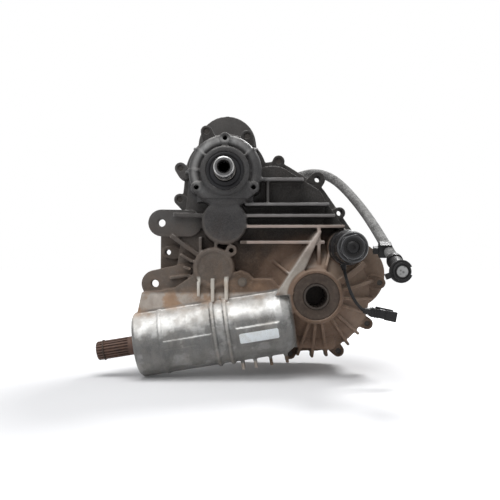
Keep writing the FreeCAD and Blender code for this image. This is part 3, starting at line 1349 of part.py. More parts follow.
def build_solenoid_plug():
    at = solenoid_at
    plug = turned([
        (0, solenoid_front_y - 1.0), (6.5, solenoid_front_y - 1.0), (8.6, solenoid_front_y + 0.6),
        (8.6, solenoid_front_y + 4.0), (0, solenoid_front_y + 4.0),
    ], at)
    return plug.cut(hex_head(at, solenoid_front_y - 2, solenoid_front_y + 1.6, 6.0))


def bend_radii(points):
    """The bend radius at each inner point: 0.45 of its shorter run over the tangent of half its turn."""
    radii = []
    for a, b, c in zip(points, points[1:], points[2:]):
        u, v = V(*b) - V(*a), V(*c) - V(*b)
        radii.append(0.45 * min(u.Length, v.Length) / math.tan(u.getAngle(v) / 2))
    return radii


def cord(name, points, r):
    """A round cord of straight runs and tangent arcs through the route points."""
    radii = bend_radii(points)
    print(name, "bend radii", [round(b, 1) for b in radii])
    edges = []
    last = V(*points[0])
    length = 0.0
    for (a, b, c), bend in zip(zip(points, points[1:], points[2:]), radii):
        u, v = V(*b) - V(*a), V(*c) - V(*b)
        turn = u.getAngle(v)
        u.normalize()
        v.normalize()
        back = bend * math.tan(turn / 2)
        start, stop = V(*b) - u * back, V(*b) + v * back
        across = (v - u).normalize()
        middle = V(*b) + across * (bend / math.cos(turn / 2) - bend)
        edges.append(Part.LineSegment(last, start).toShape())
        edges.append(Part.Arc(start, middle, stop).toShape())
        length += (start - last).Length + bend * turn
        last = stop
    end = V(*points[-1])
    edges.append(Part.LineSegment(last, end).toShape())
    length += (end - last).Length
    wire = Part.Wire(edges)
    section = Part.Wire(Part.makeCircle(r, V(*points[0]), V(*points[1]) - V(*points[0])))
    tube = wire.makePipeShell([section], True, True)
    print(name, "length", round(length, 1), "volume share", round(tube.Volume / (math.pi * r * r * length), 4))
    return tube


def build_sensor():
    """A round switch body on the rear face with a stub that the loom leaves from."""
    leaves = V(*loom_points[0])
    way = (leaves - V(*loom_points[1])).normalize()
    body = turned([
        (0, rear_face_y), (sensor_r + 3, rear_face_y), (sensor_r + 3, rear_face_y + 4), (sensor_r, rear_face_y + 4),
        (sensor_r, sensor_back_y - 2), (sensor_r - 2, sensor_back_y), (0, sensor_back_y),
    ], sensor_at)
    stub = Part.makeCylinder(loom_r + 2.0, 30.0, leaves, way)
    return fused([body, stub])


def build_loom_connector():
    """Straight boot on the loom, an elbow and the round socket that faces -Y."""
    end = V(*loom_points[-1])
    way = (end - V(*loom_points[-2])).normalize()
    boot_end = end + way * 22.0
    boot = Part.makeCylinder(loom_r + 2.2, 22.0, end, way)
    collar = Part.makeCylinder(loom_r + 3.4, 3.0, end + way * 5.0, way)
    x, y, z = connector_face
    elbow = Part.makeSphere(loom_r + 2.8, boot_end)
    socket = turned([
        (0, y), (connector_r - 3.5, y), (connector_r - 3.5, y + 2), (connector_r - 2, y + 2), (connector_r - 2, y),
        (connector_r, y + 0.8), (connector_r, y + 17), (connector_r - 2, y + 19), (0, y + 26),
    ], (x, z))
    return fused([boot, collar, elbow, socket])


def build_lock_ring():
    """The C-shaped ring with a finger tab that locks the round connector."""
    at = (connector_face[0], connector_face[2])
    y0, y1 = lock_ring_y
    body = turned([
        (connector_r + 0.06, y0), (connector_r + 2.4, y0), (connector_r + 3.2, y0 + 1), (connector_r + 3.2, y1 - 1),
        (connector_r + 2.4, y1), (connector_r + 0.06, y1),
    ], at)
    gap_a, gap_b = from_point(*at, 30.0, -20.0), from_point(*at, 30.0, 25.0)
    gap = Part.makePolygon([V(at[0], y0, at[1]), V(gap_a[0], y0, gap_a[1]), V(gap_b[0], y0, gap_b[1]),
                            V(at[0], y0, at[1])])
    body = body.cut(Part.Face(gap).extrude(V(0, y1 - y0, 0)))
    tab = plate_rib(from_point(*at, connector_r + 2.6, 200.0), from_point(*at, connector_r + 9, 200.0), 7.0, y0, y1)
    return fused([body, tab])


def build_clip():
    """A block that grips the loom, with a fir-tree foot on its left."""
    way = (V(*loom_points[-1]) - V(*loom_points[-2])).normalize()
    mid = V(*loom_points[-2]) + way * clip_from_bend
    block = Part.makeBox(17.0, 12.0, 19.0, V(-13.0, -6.0, -9.5))
    block = block.makeFillet(2.0, [e for e in block.Edges if abs(e.tangentAt(e.FirstParameter).y) > 0.99])
    foot = Part.makeBox(8.0, 7.0, 9.0, V(-20.0, -3.5, -5.0))
    block = fused([block, foot])
    block.rotate(V(0, 0, 0), V(1, 0, 0), math.degrees(math.atan2(-way.z, -way.y)))
    block.translate(mid)
    return block.cut(cord("loom_clip", loom_points, loom_r + cord_gap))


def build_lead_connector():
    """Boot, ribbed housing and locking tab of the small plug on the lead, made along +X."""
    boot = along_x([(0, 0), (0, 3.4), (3, 4.3), (10, 5.2), (10, 0)])
    shell = Part.makeBox(23.0, 11.0, 12.0, V(9, -5.5, -6))
    shell = shell.makeFillet(2.0, [e for e in shell.Edges if abs(e.tangentAt(e.FirstParameter).x) > 0.99])
    nose = Part.makeBox(15.0, 13.0, 14.0, V(31, -6.5, -7))
    nose = nose.makeFillet(2.4, [e for e in nose.Edges if abs(e.tangentAt(e.FirstParameter).x) > 0.99])
    tab = Part.makeBox(24.0, 5.0, 2.4, V(16, -2.5, 6.6))
    heel = Part.makeBox(3.0, 5.0, 3.0, V(16, -2.5, 5.0))
    ribs = [Part.makeBox(1.2, 12.4, 13.4, V(12.0 + 4.0 * i, -6.2, -6.7)) for i in range(3)]
    body = fused([boot, shell, nose, tab, heel] + ribs)
    body = body.cut(Part.makeBox(9.0, 8.4, 9.0, V(38, -4.2, -4.5)))
    body.rotate(V(0, 0, 0), V(0, 1, 0), lead_connector_turn_deg)
    body.translate(V(*lead_points[-1]))
    return body.cut(cord("lead_connector", lead_points, lead_r + cord_gap))


# Pieces
front_case = build_front_case()
export("front_case", front_case)
export("rear_case", build_rear_case())
export("case_gasket", build_gasket())

bolts = []
for name, at in ears.items():
    if name in open_ears:
        continue
    bolts.append(flange_bolt(at, parting_y + gasket_thick + flange_thick, screw_long, -1))
export("case_bolts", *bolts)

seal_gap = press_gap
export("input_seal", seal(input_shaft_r + running_gap, input_seal_r - seal_gap, dome_boss_y + 0.6, 9.0, shaft_in))
export("axle_seal_front", seal(hub_r + running_gap, axle_seal_r - seal_gap, 0.6, 8.2))
rear_seal = seal(hub_r + running_gap, axle_seal_r - seal_gap, 0.6, 8.2)
rear_seal.rotate(V(0, 0, 0), V(0, 0, 1), 180)
rear_seal.translate(V(0, rear_axle_y, 0))
export("axle_seal_rear", rear_seal)
mouth_seal = seal(output_journal_r + running_gap, output_seal_r - seal_gap, 0, 9.0)
mouth_seal.rotate(V(0, 0, 0), V(0, 0, 1), 180)
export("output_seal", along_snorkel(mouth_seal, snorkel_mouth - 4.6))

export(
    "input_bearings",
    bearing(input_bearing, 14.0, shaft_in),
    bearing(bearing_small, rear_bearing_y, shaft_in),
)
export(
    "counter_bearings",
    bearing(bearing_medium, front_bearing_y, shaft_counter),
    bearing(bearing_medium, rear_bearing_y, shaft_counter),
)
export("intermediate_bearings", bearing(bearing_small, 44.0, shaft_mid), bearing(bearing_medium, rear_bearing_y, shaft_mid))
export(
    "transfer_bearings",
    bearing(bearing_medium, transfer_bearing_y, shaft_transfer),
    bearing(bearing_medium, rear_bearing_y, shaft_transfer),
)
export("differential_bearings", bearing(bearing_axle, axle_bearing_y, axle), bearing(bearing_axle, rear_axle_y - 24, axle))
export("output_bearings", *[along_snorkel(bearing(bearing_output, 0, axle), along) for along in output_seats])

export("input_shaft", build_input_shaft())
export("counter_shaft", build_counter_shaft())
export("high_gear", build_high_gear())
export("low_gear", build_low_gear())
dog_collar, fork_y = build_dog_collar()
export("dog_collar", dog_collar)
export("intermediate_shaft", build_intermediate_shaft())
export("intermediate_gear", build_intermediate_gear())
export("reverse_gear", build_reverse_gear())
export("reverse_idler", build_idler())
export("idler_pin", cyl(idler_pin_r - press_gap, 28.4, rear_wall_y - 0.4, shaft_idler))

export("differential_carrier", build_carrier())
export("ring_gear", build_ring_gear())
ring_bolts = []
for i in range(ring_bolt_count):
    at = from_point(*axle, ring_bolt_pitch_r, 360.0 * i / ring_bolt_count)
    head = hex_head(at, carrier_flange_y - 4.0, carrier_flange_y, 9.0)
    ring_bolts.append(head.fuse(cyl(3.0 - press_gap, carrier_flange_y - 0.5, final_y + final_width - 5, at)))
export("ring_bolts", *ring_bolts)
pin_half = carrier_r_out - 0.5
export("cross_pin", Part.makeCylinder(cross_pin_r - press_gap, 2 * pin_half, V(0, diff_y, -pin_half), V(0, 0, 1)))
export("spider_gear_upper", spider_gear(True))
export("spider_gear_lower", spider_gear(False))
export("side_gear_front", side_gear(True))
export("side_gear_rear", side_gear(False))
export("lock_collar", build_lock_collar())
export("lock_fork", build_lock_fork())
export("lock_rod", cyl(lock_rod_r, -9.0, 96.0, solenoid_at))

export("transfer_shaft", build_transfer_shaft())
export("transfer_bevel", build_transfer_bevel())
export("output_shaft", build_output_shaft())
snap = ring(output_spline_r - 2.2 + press_gap, output_spline_r + 1.2, 0, 1.6)
snap = snap.cut(Part.makeBox(6, 4, 30, V(-3, -1, 0)))
export("output_snap_ring", along_snorkel(snap, output_end - 10.8))

export("fork_rail", cyl(fork_rail_r - press_gap, 44.4, rear_wall_y - 0.4, fork_rail_at))
shift_fork, pin_y = build_fork(fork_y)
export("shift_fork", shift_fork)
export("shift_drum", build_drum(pin_y))
export("selector_lever", build_lever())
nut_y = rear_face_y + 18.0
export("lever_nut", hex_head(drum_at, nut_y, nut_y + 5, 24.0).cut(cyl(drum_journal_r + press_gap / 2, nut_y - 1, nut_y + 6, drum_at)))

export("top_cover", fused([
    cyl(top_housing_r - 1.5, top_housing_back_y, top_housing_back_y + top_cover_thick, top_housing_at),
    cyl(14.0, top_housing_back_y, top_housing_back_y + top_cover_thick + 3, top_housing_at),
]).cut(prism([(*shaft_in, 53.0), (*shaft_counter, 60.0)], 140.0, 180.0)).cut(fused([
    cyl(top_screw_r + 0.3, 140.0, 180.0, from_point(*top_housing_at, top_housing_r - 6, turn))
    for turn in top_screw_turns
])))
top_screws = []
for turn in top_screw_turns:
    at = from_point(*top_housing_at, top_housing_r - 6, turn)
    y0 = top_housing_back_y + top_cover_thick
    top_screws.append(cyl(top_screw_r - press_gap, y0 - 12, y0 + 1, at).fuse(hex_head(at, y0, y0 + 3.5, 8.0)))
export("top_cover_screws", *top_screws)

export("gear_position_sensor", build_sensor())
export("solenoid_body", build_solenoid())
export("solenoid_nut", build_solenoid_nut())
export("solenoid_plug", build_solenoid_plug())

level_plug = fused([
    hex_head((0, 0), -5.5, -1.5, 10.0), cyl(plug_flange_r, -1.5, 0), cyl(level_plug_r - press_gap, -0.5, 12.0),
])
level_plug.translate(V(level_plug_at[0], level_plug_y, level_plug_at[1]))
export("level_plug", level_plug)
drain = fused([
    hex_head((0, 0), -7.0, -1.5, 14.0), cyl(plug_r + 3.0, -1.5, 0), cyl(plug_r - press_gap, -0.5, 18.0),
])
drain.rotate(V(0, 0, 0), V(1, 0, 0), 90)
drain.translate(V(*drain_at, -drain_z))
export("drain_plug", drain)

export("sensor_loom", cord("sensor_loom", loom_points, loom_r))
export("loom_connector", build_loom_connector())
export("loom_lock_ring", build_lock_ring())
export("loom_clip", build_clip())
export("solenoid_lead", cord("solenoid_lead", lead_points, lead_r))
export("lead_connector", build_lead_connector())
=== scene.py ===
import json
import math

import bmesh
import bpy
import numpy as np
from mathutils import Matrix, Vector


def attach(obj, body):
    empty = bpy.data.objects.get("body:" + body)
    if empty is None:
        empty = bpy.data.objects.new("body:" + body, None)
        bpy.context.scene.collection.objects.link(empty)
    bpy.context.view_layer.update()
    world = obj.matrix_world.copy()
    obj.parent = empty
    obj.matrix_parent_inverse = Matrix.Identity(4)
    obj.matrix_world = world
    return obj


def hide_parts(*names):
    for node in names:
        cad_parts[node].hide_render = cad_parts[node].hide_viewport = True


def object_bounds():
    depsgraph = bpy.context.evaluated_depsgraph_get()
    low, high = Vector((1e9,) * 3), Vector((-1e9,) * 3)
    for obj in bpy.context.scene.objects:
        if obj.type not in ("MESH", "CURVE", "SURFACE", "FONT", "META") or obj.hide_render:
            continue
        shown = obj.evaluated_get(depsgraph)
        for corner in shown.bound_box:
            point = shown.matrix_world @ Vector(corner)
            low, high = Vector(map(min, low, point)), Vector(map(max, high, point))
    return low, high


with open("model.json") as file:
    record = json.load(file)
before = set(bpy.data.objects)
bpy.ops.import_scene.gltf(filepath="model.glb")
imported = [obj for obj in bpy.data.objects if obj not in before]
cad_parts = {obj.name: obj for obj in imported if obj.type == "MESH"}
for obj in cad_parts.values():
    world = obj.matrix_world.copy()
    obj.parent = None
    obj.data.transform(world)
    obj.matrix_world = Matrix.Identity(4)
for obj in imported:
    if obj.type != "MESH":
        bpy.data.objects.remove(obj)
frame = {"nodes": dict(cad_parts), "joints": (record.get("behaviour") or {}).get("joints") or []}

nodes = frame["nodes"]
cad_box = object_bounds()
scene = bpy.context.scene
scene.view_settings.view_transform = "Standard"


# Camera: level with the middle of the case and square to the shafts, 0.95 m in front of the axle's middle.
# Its focal length is given in pixels of a picture 500 pixels wide.
focal_px = 680.0
image_px = 500.0
camera_data = bpy.data.cameras.new("camera")
camera_data.sensor_width = 36.0
camera_data.lens = focal_px / image_px * camera_data.sensor_width
camera = bpy.data.objects.new("camera", camera_data)
camera.location = (-0.093, -0.952, 0.0655)
camera.rotation_euler = (math.radians(90.0), 0.0, 0.0)
scene.collection.objects.link(camera)
scene.camera = camera


def link_mesh(name, mesh):
    piece = bpy.data.objects.new(name, mesh)
    scene.collection.objects.link(piece)
    return piece


# Floor and light: a white sweep that keeps the soft shadow, one broad lamp overhead, a smaller one
# behind on the right that throws the shadow forwards, and a fill over the left of the camera.
floor_z = cad_box[0][2] - 0.0005
bpy.ops.mesh.primitive_plane_add(size=8.0, location=(0.0, 1.0, floor_z))
floor = bpy.context.object
floor.name = "floor"


def background_rays(tree):
    """1 for the rays that show the background: seen plainly, in metal or through glass."""
    rays = tree.nodes.new("ShaderNodeLightPath")
    share = rays.outputs["Is Camera Ray"]
    for label in ("Is Glossy Ray", "Is Transmission Ray"):
        larger = tree.nodes.new("ShaderNodeMath")
        larger.operation = "MAXIMUM"
        tree.links.new(share, larger.inputs[0])
        tree.links.new(rays.outputs[label], larger.inputs[1])
        share = larger.outputs[0]
    return share


# the floor's white grows away from the part, so that the shadow stays under it
shadow_middle = (-0.10, -1.05, 0.0)
floor_white = (("From Min", 0.30), ("From Max", 0.85), ("To Min", 0.05), ("To Max", 0.80))
floor_paint = bpy.data.materials.new("floor_white")
floor_paint.use_nodes = True
tree = floor_paint.node_tree
tree.nodes.clear()
matt = tree.nodes.new("ShaderNodeBsdfDiffuse")
matt.inputs["Color"].default_value = (0.80, 0.80, 0.81, 1.0)
glow = tree.nodes.new("ShaderNodeEmission")
glow.inputs["Color"].default_value = (1.0, 1.0, 1.0, 1.0)
reach = tree.nodes.new("ShaderNodeVectorMath")
reach.operation = "DISTANCE"
reach.inputs[1].default_value = shadow_middle
widen = tree.nodes.new("ShaderNodeMapRange")
widen.interpolation_type = "SMOOTHSTEP"
for label, number in floor_white:
    widen.inputs[label].default_value = number
lift = tree.nodes.new("ShaderNodeMath")
lift.operation = "MULTIPLY"
both = tree.nodes.new("ShaderNodeAddShader")
tree.links.new(tree.nodes.new("ShaderNodeTexCoord").outputs["Object"], reach.inputs[0])
tree.links.new(reach.outputs["Value"], widen.inputs["Value"])
tree.links.new(background_rays(tree), lift.inputs[0])
tree.links.new(widen.outputs["Result"], lift.inputs[1])
tree.links.new(lift.outputs[0], glow.inputs["Strength"])
tree.links.new(matt.outputs[0], both.inputs[0])
tree.links.new(glow.outputs[0], both.inputs[1])
tree.links.new(both.outputs[0], tree.nodes.new("ShaderNodeOutputMaterial").inputs["Surface"])
floor.data.materials.append(floor_paint)

world = bpy.data.worlds.new("studio")
scene.world = world
world.use_nodes = True
tree = world.node_tree
tree.nodes.clear()
ambient = tree.nodes.new("ShaderNodeBackground")
ambient.inputs["Color"].default_value = (0.95, 0.97, 1.0, 1.0)
ambient.inputs["Strength"].default_value = 0.30
seen = tree.nodes.new("ShaderNodeBackground")
seen.inputs["Color"].default_value = (1.0, 1.0, 1.0, 1.0)
pick = tree.nodes.new("ShaderNodeMixShader")
tree.links.new(background_rays(tree), pick.inputs["Fac"])
tree.links.new(ambient.outputs[0], pick.inputs[1])
tree.links.new(seen.outputs[0], pick.inputs[2])
tree.links.new(pick.outputs[0], tree.nodes.new("ShaderNodeOutputWorld").inputs["Surface"])


def soft_lamp(name, place, aim, size, watts):
    data = bpy.data.lights.new(name, "AREA")
    data.shape = "DISK"
    data.size = size
    data.energy = watts
    lamp = bpy.data.objects.new(name, data)
    lamp.location = place
    lamp.rotation_euler = (Vector(aim) - Vector(place)).to_track_quat("-Z", "Y").to_euler()
    scene.collection.objects.link(lamp)


soft_lamp("overhead", (-0.22, -0.22, 1.15), (-0.10, 0.0, 0.02), 0.9, 10.0)
soft_lamp("back_right", (0.34, 0.62, 0.95), (-0.10, -0.05, -0.05), 0.30, 11.0)
soft_lamp("front_fill", (-0.75, -1.05, 0.85), (-0.1, 0.05, 0.05), 0.9, 5.0)


# Sensor loom: a stiff grey wrapped lead, 14.5 mm thick, from the sensor's stub over the far side to the
# round plug at the right. It is held at both ends and by its clip.
loom_route = (
    (-0.0320, 0.2000, 0.1810),
    (-0.0034, 0.1975, 0.1935),
    (0.0215, 0.1875, 0.1948),
    (0.0435, 0.1680, 0.1835),
    (0.0610, 0.1390, 0.1620),
    (0.0750, 0.0960, 0.1349),
    (0.0839, 0.0420, 0.1074),
    (0.0905, -0.0140, 0.0780),
    (0.0948, -0.0620, 0.0538),
)
loom_diameter = 0.0145


def cord_curve(name, route, diameter):
    curve = bpy.data.curves.new(name, "CURVE")
    curve.dimensions = "3D"
    curve.resolution_u = 10
    curve.bevel_depth = 1.0
    curve.bevel_resolution = 5
    curve.use_fill_caps = True
    spline = curve.splines.new("NURBS")
    spline.points.add(len(route) - 1)
    for point, place in zip(spline.points, route):
        point.co = (*place, 1.0)
        point.radius = diameter / 2
    spline.order_u = 3
    spline.use_endpoint_u = True
    piece = bpy.data.objects.new(name, curve)
    scene.collection.objects.link(piece)
    return piece


sensor_loom = cord_curve("wrapped_loom", loom_route, loom_diameter)
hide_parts("sensor_loom")
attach(sensor_loom, "case")

# Solenoid lead: a thin black wire pair in one rubber sheath, moulded into the solenoid's underside. It hangs
# in one bow to the small plug, which is crimped and snapped on.
lead_diameter = 0.0044
lead_route = (
    (0.0400, 0.0160, 0.0425),
    (0.0406, 0.0090, 0.0355),
    (0.0418, 0.0025, 0.0270),
    (0.0438, -0.0025, 0.0170),
    (0.0470, -0.0065, 0.0065),
    (0.0515, -0.0095, -0.0035),
    (0.0570, -0.0115, -0.0120),
    (0.0635, -0.0124, -0.0180),
)
solenoid_lead = cord_curve("solenoid_wire", lead_route, lead_diameter)
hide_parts("solenoid_lead")
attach(solenoid_lead, "case")


# Main castings: two halves of sand-cast alloy, thinly painted and worn. First comes their finish: the nodes
# it is built from, then the ageing and painted edge highlight that every hard piece shares, then the tones of
# the case itself.
def shader_group(name, sockets_in, sockets_out):
    """A new node group with its named sockets, and its own input and output nodes."""
    group = bpy.data.node_groups.new(name, "ShaderNodeTree")
    for label, kind, value in sockets_in:
        socket = group.interface.new_socket(label, in_out="INPUT", socket_type=kind)
        socket.default_value = value
    for label, kind in sockets_out:
        group.interface.new_socket(label, in_out="OUTPUT", socket_type=kind)
    return group, group.nodes.new("NodeGroupInput"), group.nodes.new("NodeGroupOutput")


def combined(tree, operation, a, b, clamp):
    node = tree.nodes.new("ShaderNodeMath")
    node.operation = operation
    node.use_clamp = clamp
    for value, socket in ((a, node.inputs[0]), (b, node.inputs[1])):
        if isinstance(value, (int, float)):
            socket.default_value = value
        else:
            tree.links.new(value, socket)
    return node.outputs[0]


def times(tree, a, b, clamp=False):
    return combined(tree, "MULTIPLY", a, b, clamp)


def plus(tree, a, b, clamp=False):
    return combined(tree, "ADD", a, b, clamp)


def product(tree, mask, *others):
    for other in others:
        mask = times(tree, mask, other)
    return mask


def mixed(tree, mask, a, b, blend="MIX"):
    """Colour a, going to colour b where the mask is 1."""
    node = tree.nodes.new("ShaderNodeMix")
    node.data_type = "RGBA"
    node.blend_type = blend
    node.clamp_factor = True
    for value, socket in ((mask, node.inputs[0]), (a, node.inputs[6]), (b, node.inputs[7])):
        if isinstance(value, (int, float)):
            socket.default_value = value
        elif isinstance(value, tuple):
            socket.default_value = (*value, 1.0)
        else:
            tree.links.new(value, socket)
    return node.outputs[2]


def layered(tree, colour, *coats):
    """Coats laid over a colour in turn, each as its mask and what shows where the mask is 1."""
    for mask, coat in coats:
        colour = mixed(tree, mask, colour, coat)
    return colour


def stretch(tree, value, low, high, out_low, out_high):
    node = tree.nodes.new("ShaderNodeMapRange")
    node.interpolation_type = "SMOOTHSTEP"
    for label, number in (
        ("From Min", low), ("From Max", high), ("To Min", out_low), ("To Max", out_high),
    ):
        node.inputs[label].default_value = number
    tree.links.new(value, node.inputs["Value"])
    return node.outputs["Result"]


def rising(tree, value, low, high):
    """0 up to low, 1 from high on."""
    return stretch(tree, value, low, high, 0.0, 1.0)


def falling(tree, value, low, high):
    """1 up to low, 0 from high on."""
    return stretch(tree, value, low, high, 1.0, 0.0)


def band(tree, value, start, full, fading, end):
    """1 from full to fading, 0 before start and after end."""
    return times(tree, rising(tree, value, start, full), falling(tree, value, fading, end))


def noise_mask(tree, place, scale, low, high, detail=4.0, rough=0.6):
    """A noise between 0 and 1 whose soft step runs from low to high."""
    noise = tree.nodes.new("ShaderNodeTexNoise")
    noise.inputs["Scale"].default_value = scale
    noise.inputs["Detail"].default_value = detail
    noise.inputs["Roughness"].default_value = rough
    tree.links.new(place, noise.inputs["Vector"])
    return rising(tree, noise.outputs["Fac"], low, high)


def object_place(tree):
    return tree.nodes.new("ShaderNodeTexCoord").outputs["Object"]


def parts_of(tree, vector):
    """The X, Y and Z of a vector: how far across, how deep and how high."""
    split = tree.nodes.new("ShaderNodeSeparateXYZ")
    tree.links.new(vector, split.inputs[0])
    return split.outputs["X"], split.outputs["Y"], split.outputs["Z"]


def bumped(tree, height, strength, distance):
    bump = tree.nodes.new("ShaderNodeBump")
    bump.inputs["Strength"].default_value = strength
    bump.inputs["Distance"].default_value = distance
    tree.links.new(height, bump.inputs["Height"])
    return bump.outputs["Normal"]


def facing_up(tree, low=0.15, high=0.9):
    """1 on level tops, 0 on walls and undersides."""
    normal = tree.nodes.new("ShaderNodeNewGeometry").outputs["Normal"]
    return rising(tree, parts_of(tree, normal)[2], low, high)


# Ageing that every hard piece shares: grime lies in corners, edges are rubbed bright and carry a painted
# highlight, and dust settles. On a rounded copy, the first two follow how sharply its surface curves, stored as
# "edge" and "corner".
grime_and_highlight_group, group_in, group_out = shader_group(
    "cast_weathering_and_highlight",
    (
        ("Skin", "NodeSocketColor", (0.2, 0.2, 0.2, 1.0)),
        ("Bare", "NodeSocketColor", (0.5, 0.5, 0.5, 1.0)),
        ("Grime", "NodeSocketColor", (0.03, 0.025, 0.02, 1.0)),
        ("Dust", "NodeSocketColor", (0.25, 0.18, 0.12, 1.0)),
        ("Dust Share", "NodeSocketFloat", 0.3),
        ("Edge Rub And Highlight Share", "NodeSocketFloat", 0.8),
        ("Grime Share", "NodeSocketFloat", 0.8),
    ),
    (("Color", "NodeSocketColor"), ("Roughness", "NodeSocketFloat"), ("Normal", "NodeSocketVector")),
)
tree = grime_and_highlight_group
place = object_place(tree)
edge = tree.nodes.new("ShaderNodeAttribute")
edge.attribute_name = "edge"
corner = tree.nodes.new("ShaderNodeAttribute")
corner.attribute_name = "corner"
blotch = noise_mask(tree, place, 26.0, 0.35, 0.68, 5.0, 0.62)
fine = noise_mask(tree, place, 900.0, 0.30, 0.72, 3.0, 0.7)
speck = noise_mask(tree, place, 260.0, 0.52, 0.66, 3.0, 0.6)
drift = noise_mask(tree, place, 70.0, 0.36, 0.70, 6.0, 0.65)
new_skin, bare_metal = group_in.outputs["Skin"], group_in.outputs["Bare"]
darker = mixed(tree, 1.0, new_skin, (0.42, 0.40, 0.38), "MULTIPLY")
# painted highlight: the bare colour rubbed onto convex edges also stands for light catching them
rub_and_edge_highlight = times(tree, edge.outputs["Fac"], plus(tree, times(tree, drift, 0.75), 0.45))
rub_and_edge_highlight = times(tree, rub_and_edge_highlight, group_in.outputs["Edge Rub And Highlight Share"], True)
# dust lies in drifts on the walls and as a more even film on what faces up
level = facing_up(tree)
wall = plus(tree, 1.0, times(tree, level, -1.0))
drifts = plus(tree, times(tree, drift, 0.9), 0.35)
film = plus(tree, times(tree, drift, 0.22), 0.58)
lying = plus(tree, times(tree, drifts, wall), times(tree, film, level))
settle = times(tree, plus(tree, times(tree, level, 0.55), 0.45), lying)
settle = times(tree, settle, group_in.outputs["Dust Share"], True)
aged_and_highlighted = layered(
    tree,
    new_skin,
    (times(tree, blotch, 0.40), darker),
    (times(tree, fine, 0.07), bare_metal),
    (rub_and_edge_highlight, bare_metal),
    (settle, group_in.outputs["Dust"]),
    (product(tree, speck, group_in.outputs["Dust Share"], 0.12), (0.42, 0.36, 0.30)),
    (times(tree, corner.outputs["Fac"], group_in.outputs["Grime Share"], True), group_in.outputs["Grime"]),
)
tree.links.new(aged_and_highlighted, group_out.inputs["Color"])
rough = plus(tree, stretch(tree, rub_and_edge_highlight, 0.0, 1.0, 0.66, 0.40), times(tree, blotch, 0.10))
tree.links.new(plus(tree, rough, times(tree, settle, 0.2), True), group_out.inputs["Roughness"])
sand = noise_mask(tree, place, 330.0, 0.2, 0.8, 5.0, 0.7)
grain = plus(tree, times(tree, fine, 0.6), sand)
tree.links.new(bumped(tree, grain, 0.30, 0.0004), group_out.inputs["Normal"])


# Shape of the castings: each is the solid's own, with every edge rounded as a sand mould leaves it. The copy
# is remeshed finely, smoothed and thinned, and stands for the solid.
def cast_copy(node, name, grain_size, passes, limit):
    """A voxel-rounded copy of a node's solid, thinned, with its edges and corners measured."""
    mesh = nodes[node].data.copy()
    mesh.materials.clear()
    shape = bmesh.new()
    shape.from_mesh(mesh)
    bmesh.ops.remove_doubles(shape, verts=shape.verts, dist=1e-6)
    shape.to_mesh(mesh)
    shape.free()
    piece = link_mesh(name, mesh)
    remesh = piece.modifiers.new("skin", "REMESH")
    remesh.mode = "VOXEL"
    remesh.voxel_size = grain_size
    smooth = piece.modifiers.new("mould", "SMOOTH")
    smooth.factor = 0.5
    smooth.iterations = passes
    flatten(piece)
    faces = len(piece.data.polygons) * 2
    if faces > limit:
        thin = piece.modifiers.new("thin", "DECIMATE")
        thin.ratio = limit / faces
        flatten(piece)
    for polygon in piece.data.polygons:
        polygon.use_smooth = True
    measure_edges(piece.data, grain_size)
    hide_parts(node)
    return piece


def flatten(piece):
    """Turns a piece and its modifiers into one plain mesh."""
    graph = bpy.context.evaluated_depsgraph_get()
    made = bpy.data.meshes.new_from_object(piece.evaluated_get(graph))
    old = piece.data
    piece.modifiers.clear()
    piece.data = made
    bpy.data.meshes.remove(old)


def measure_edges(mesh, reach):
    """Stores how convex (edge) and how concave (corner) each point lies, from 0 to 1."""
    plain_spacing = 1.2e-3
    edge_from, edge_range = 0.10, 0.30
    corner_from, corner_range = 0.06, 0.24
    count = len(mesh.vertices)
    place = np.empty(count * 3)
    mesh.vertices.foreach_get("co", place)
    place = place.reshape(-1, 3)
    normal = np.empty(count * 3)
    mesh.vertices.foreach_get("normal", normal)
    normal = normal.reshape(-1, 3)
    pairs = np.empty(len(mesh.edges) * 2, dtype=np.int64)
    mesh.edges.foreach_get("vertices", pairs)
    a, b = pairs.reshape(-1, 2).T
    along = place[b] - place[a]
    length = np.linalg.norm(along, axis=1) + 1e-9
    bend = np.einsum("ij,ij->i", normal[b] - normal[a], along) / length
    total = np.bincount(a, bend, count) + np.bincount(b, bend, count)
    near = np.bincount(a, minlength=count) + np.bincount(b, minlength=count)
    curve = total / np.maximum(near, 1) * (plain_spacing / np.maximum(length.mean(), reach))
    for _ in range(2):
        spread = np.bincount(a, curve[b], count) + np.bincount(b, curve[a], count)
        curve = 0.5 * curve + 0.5 * spread / np.maximum(near, 1)
    for label, values in (
        ("edge", (curve - edge_from) / edge_range), ("corner", (-curve - corner_from) / corner_range),
    ):
        store = mesh.attributes.new(label, "FLOAT", "POINT")
        store.data.foreach_set("value", np.clip(values, 0.0, 1.0).astype(np.float32))


def plain_material(name, rough=0.5, metal=0.0):
    """A new material with little gloss over its colour: the material, its tree and its shader's inputs."""
    material = bpy.data.materials.new(name)
    material.use_nodes = True
    shader = material.node_tree.nodes["Principled BSDF"]
    shader.inputs["Roughness"].default_value = rough
    shader.inputs["Metallic"].default_value = metal
    shader.inputs["Specular IOR Level"].default_value = 0.25
    return material, material.node_tree, shader.inputs


def vector_step(tree, operation, vector, value):
    node = tree.nodes.new("ShaderNodeVectorMath")
    node.operation = operation
    node.inputs[1].default_value = value
    tree.links.new(vector, node.inputs[0])
    return node.outputs


def far_from_line(tree, start, way):
    """How far a point lies from a line."""
    offset = vector_step(tree, "SUBTRACT", object_place(tree), start)[0]
    cross = vector_step(tree, "CROSS_PRODUCT", offset, way)[0]
    return vector_step(tree, "LENGTH", cross, (0.0, 0.0, 0.0))["Value"]


def far_past(tree, start, way):
    """How far past a point another lies, along a way."""
    offset = vector_step(tree, "SUBTRACT", object_place(tree), start)[0]
    return vector_step(tree, "DOT_PRODUCT", offset, way)["Value"]


def joint_named(name):
    return next(joint for joint in frame["joints"] if joint["name"] == name)


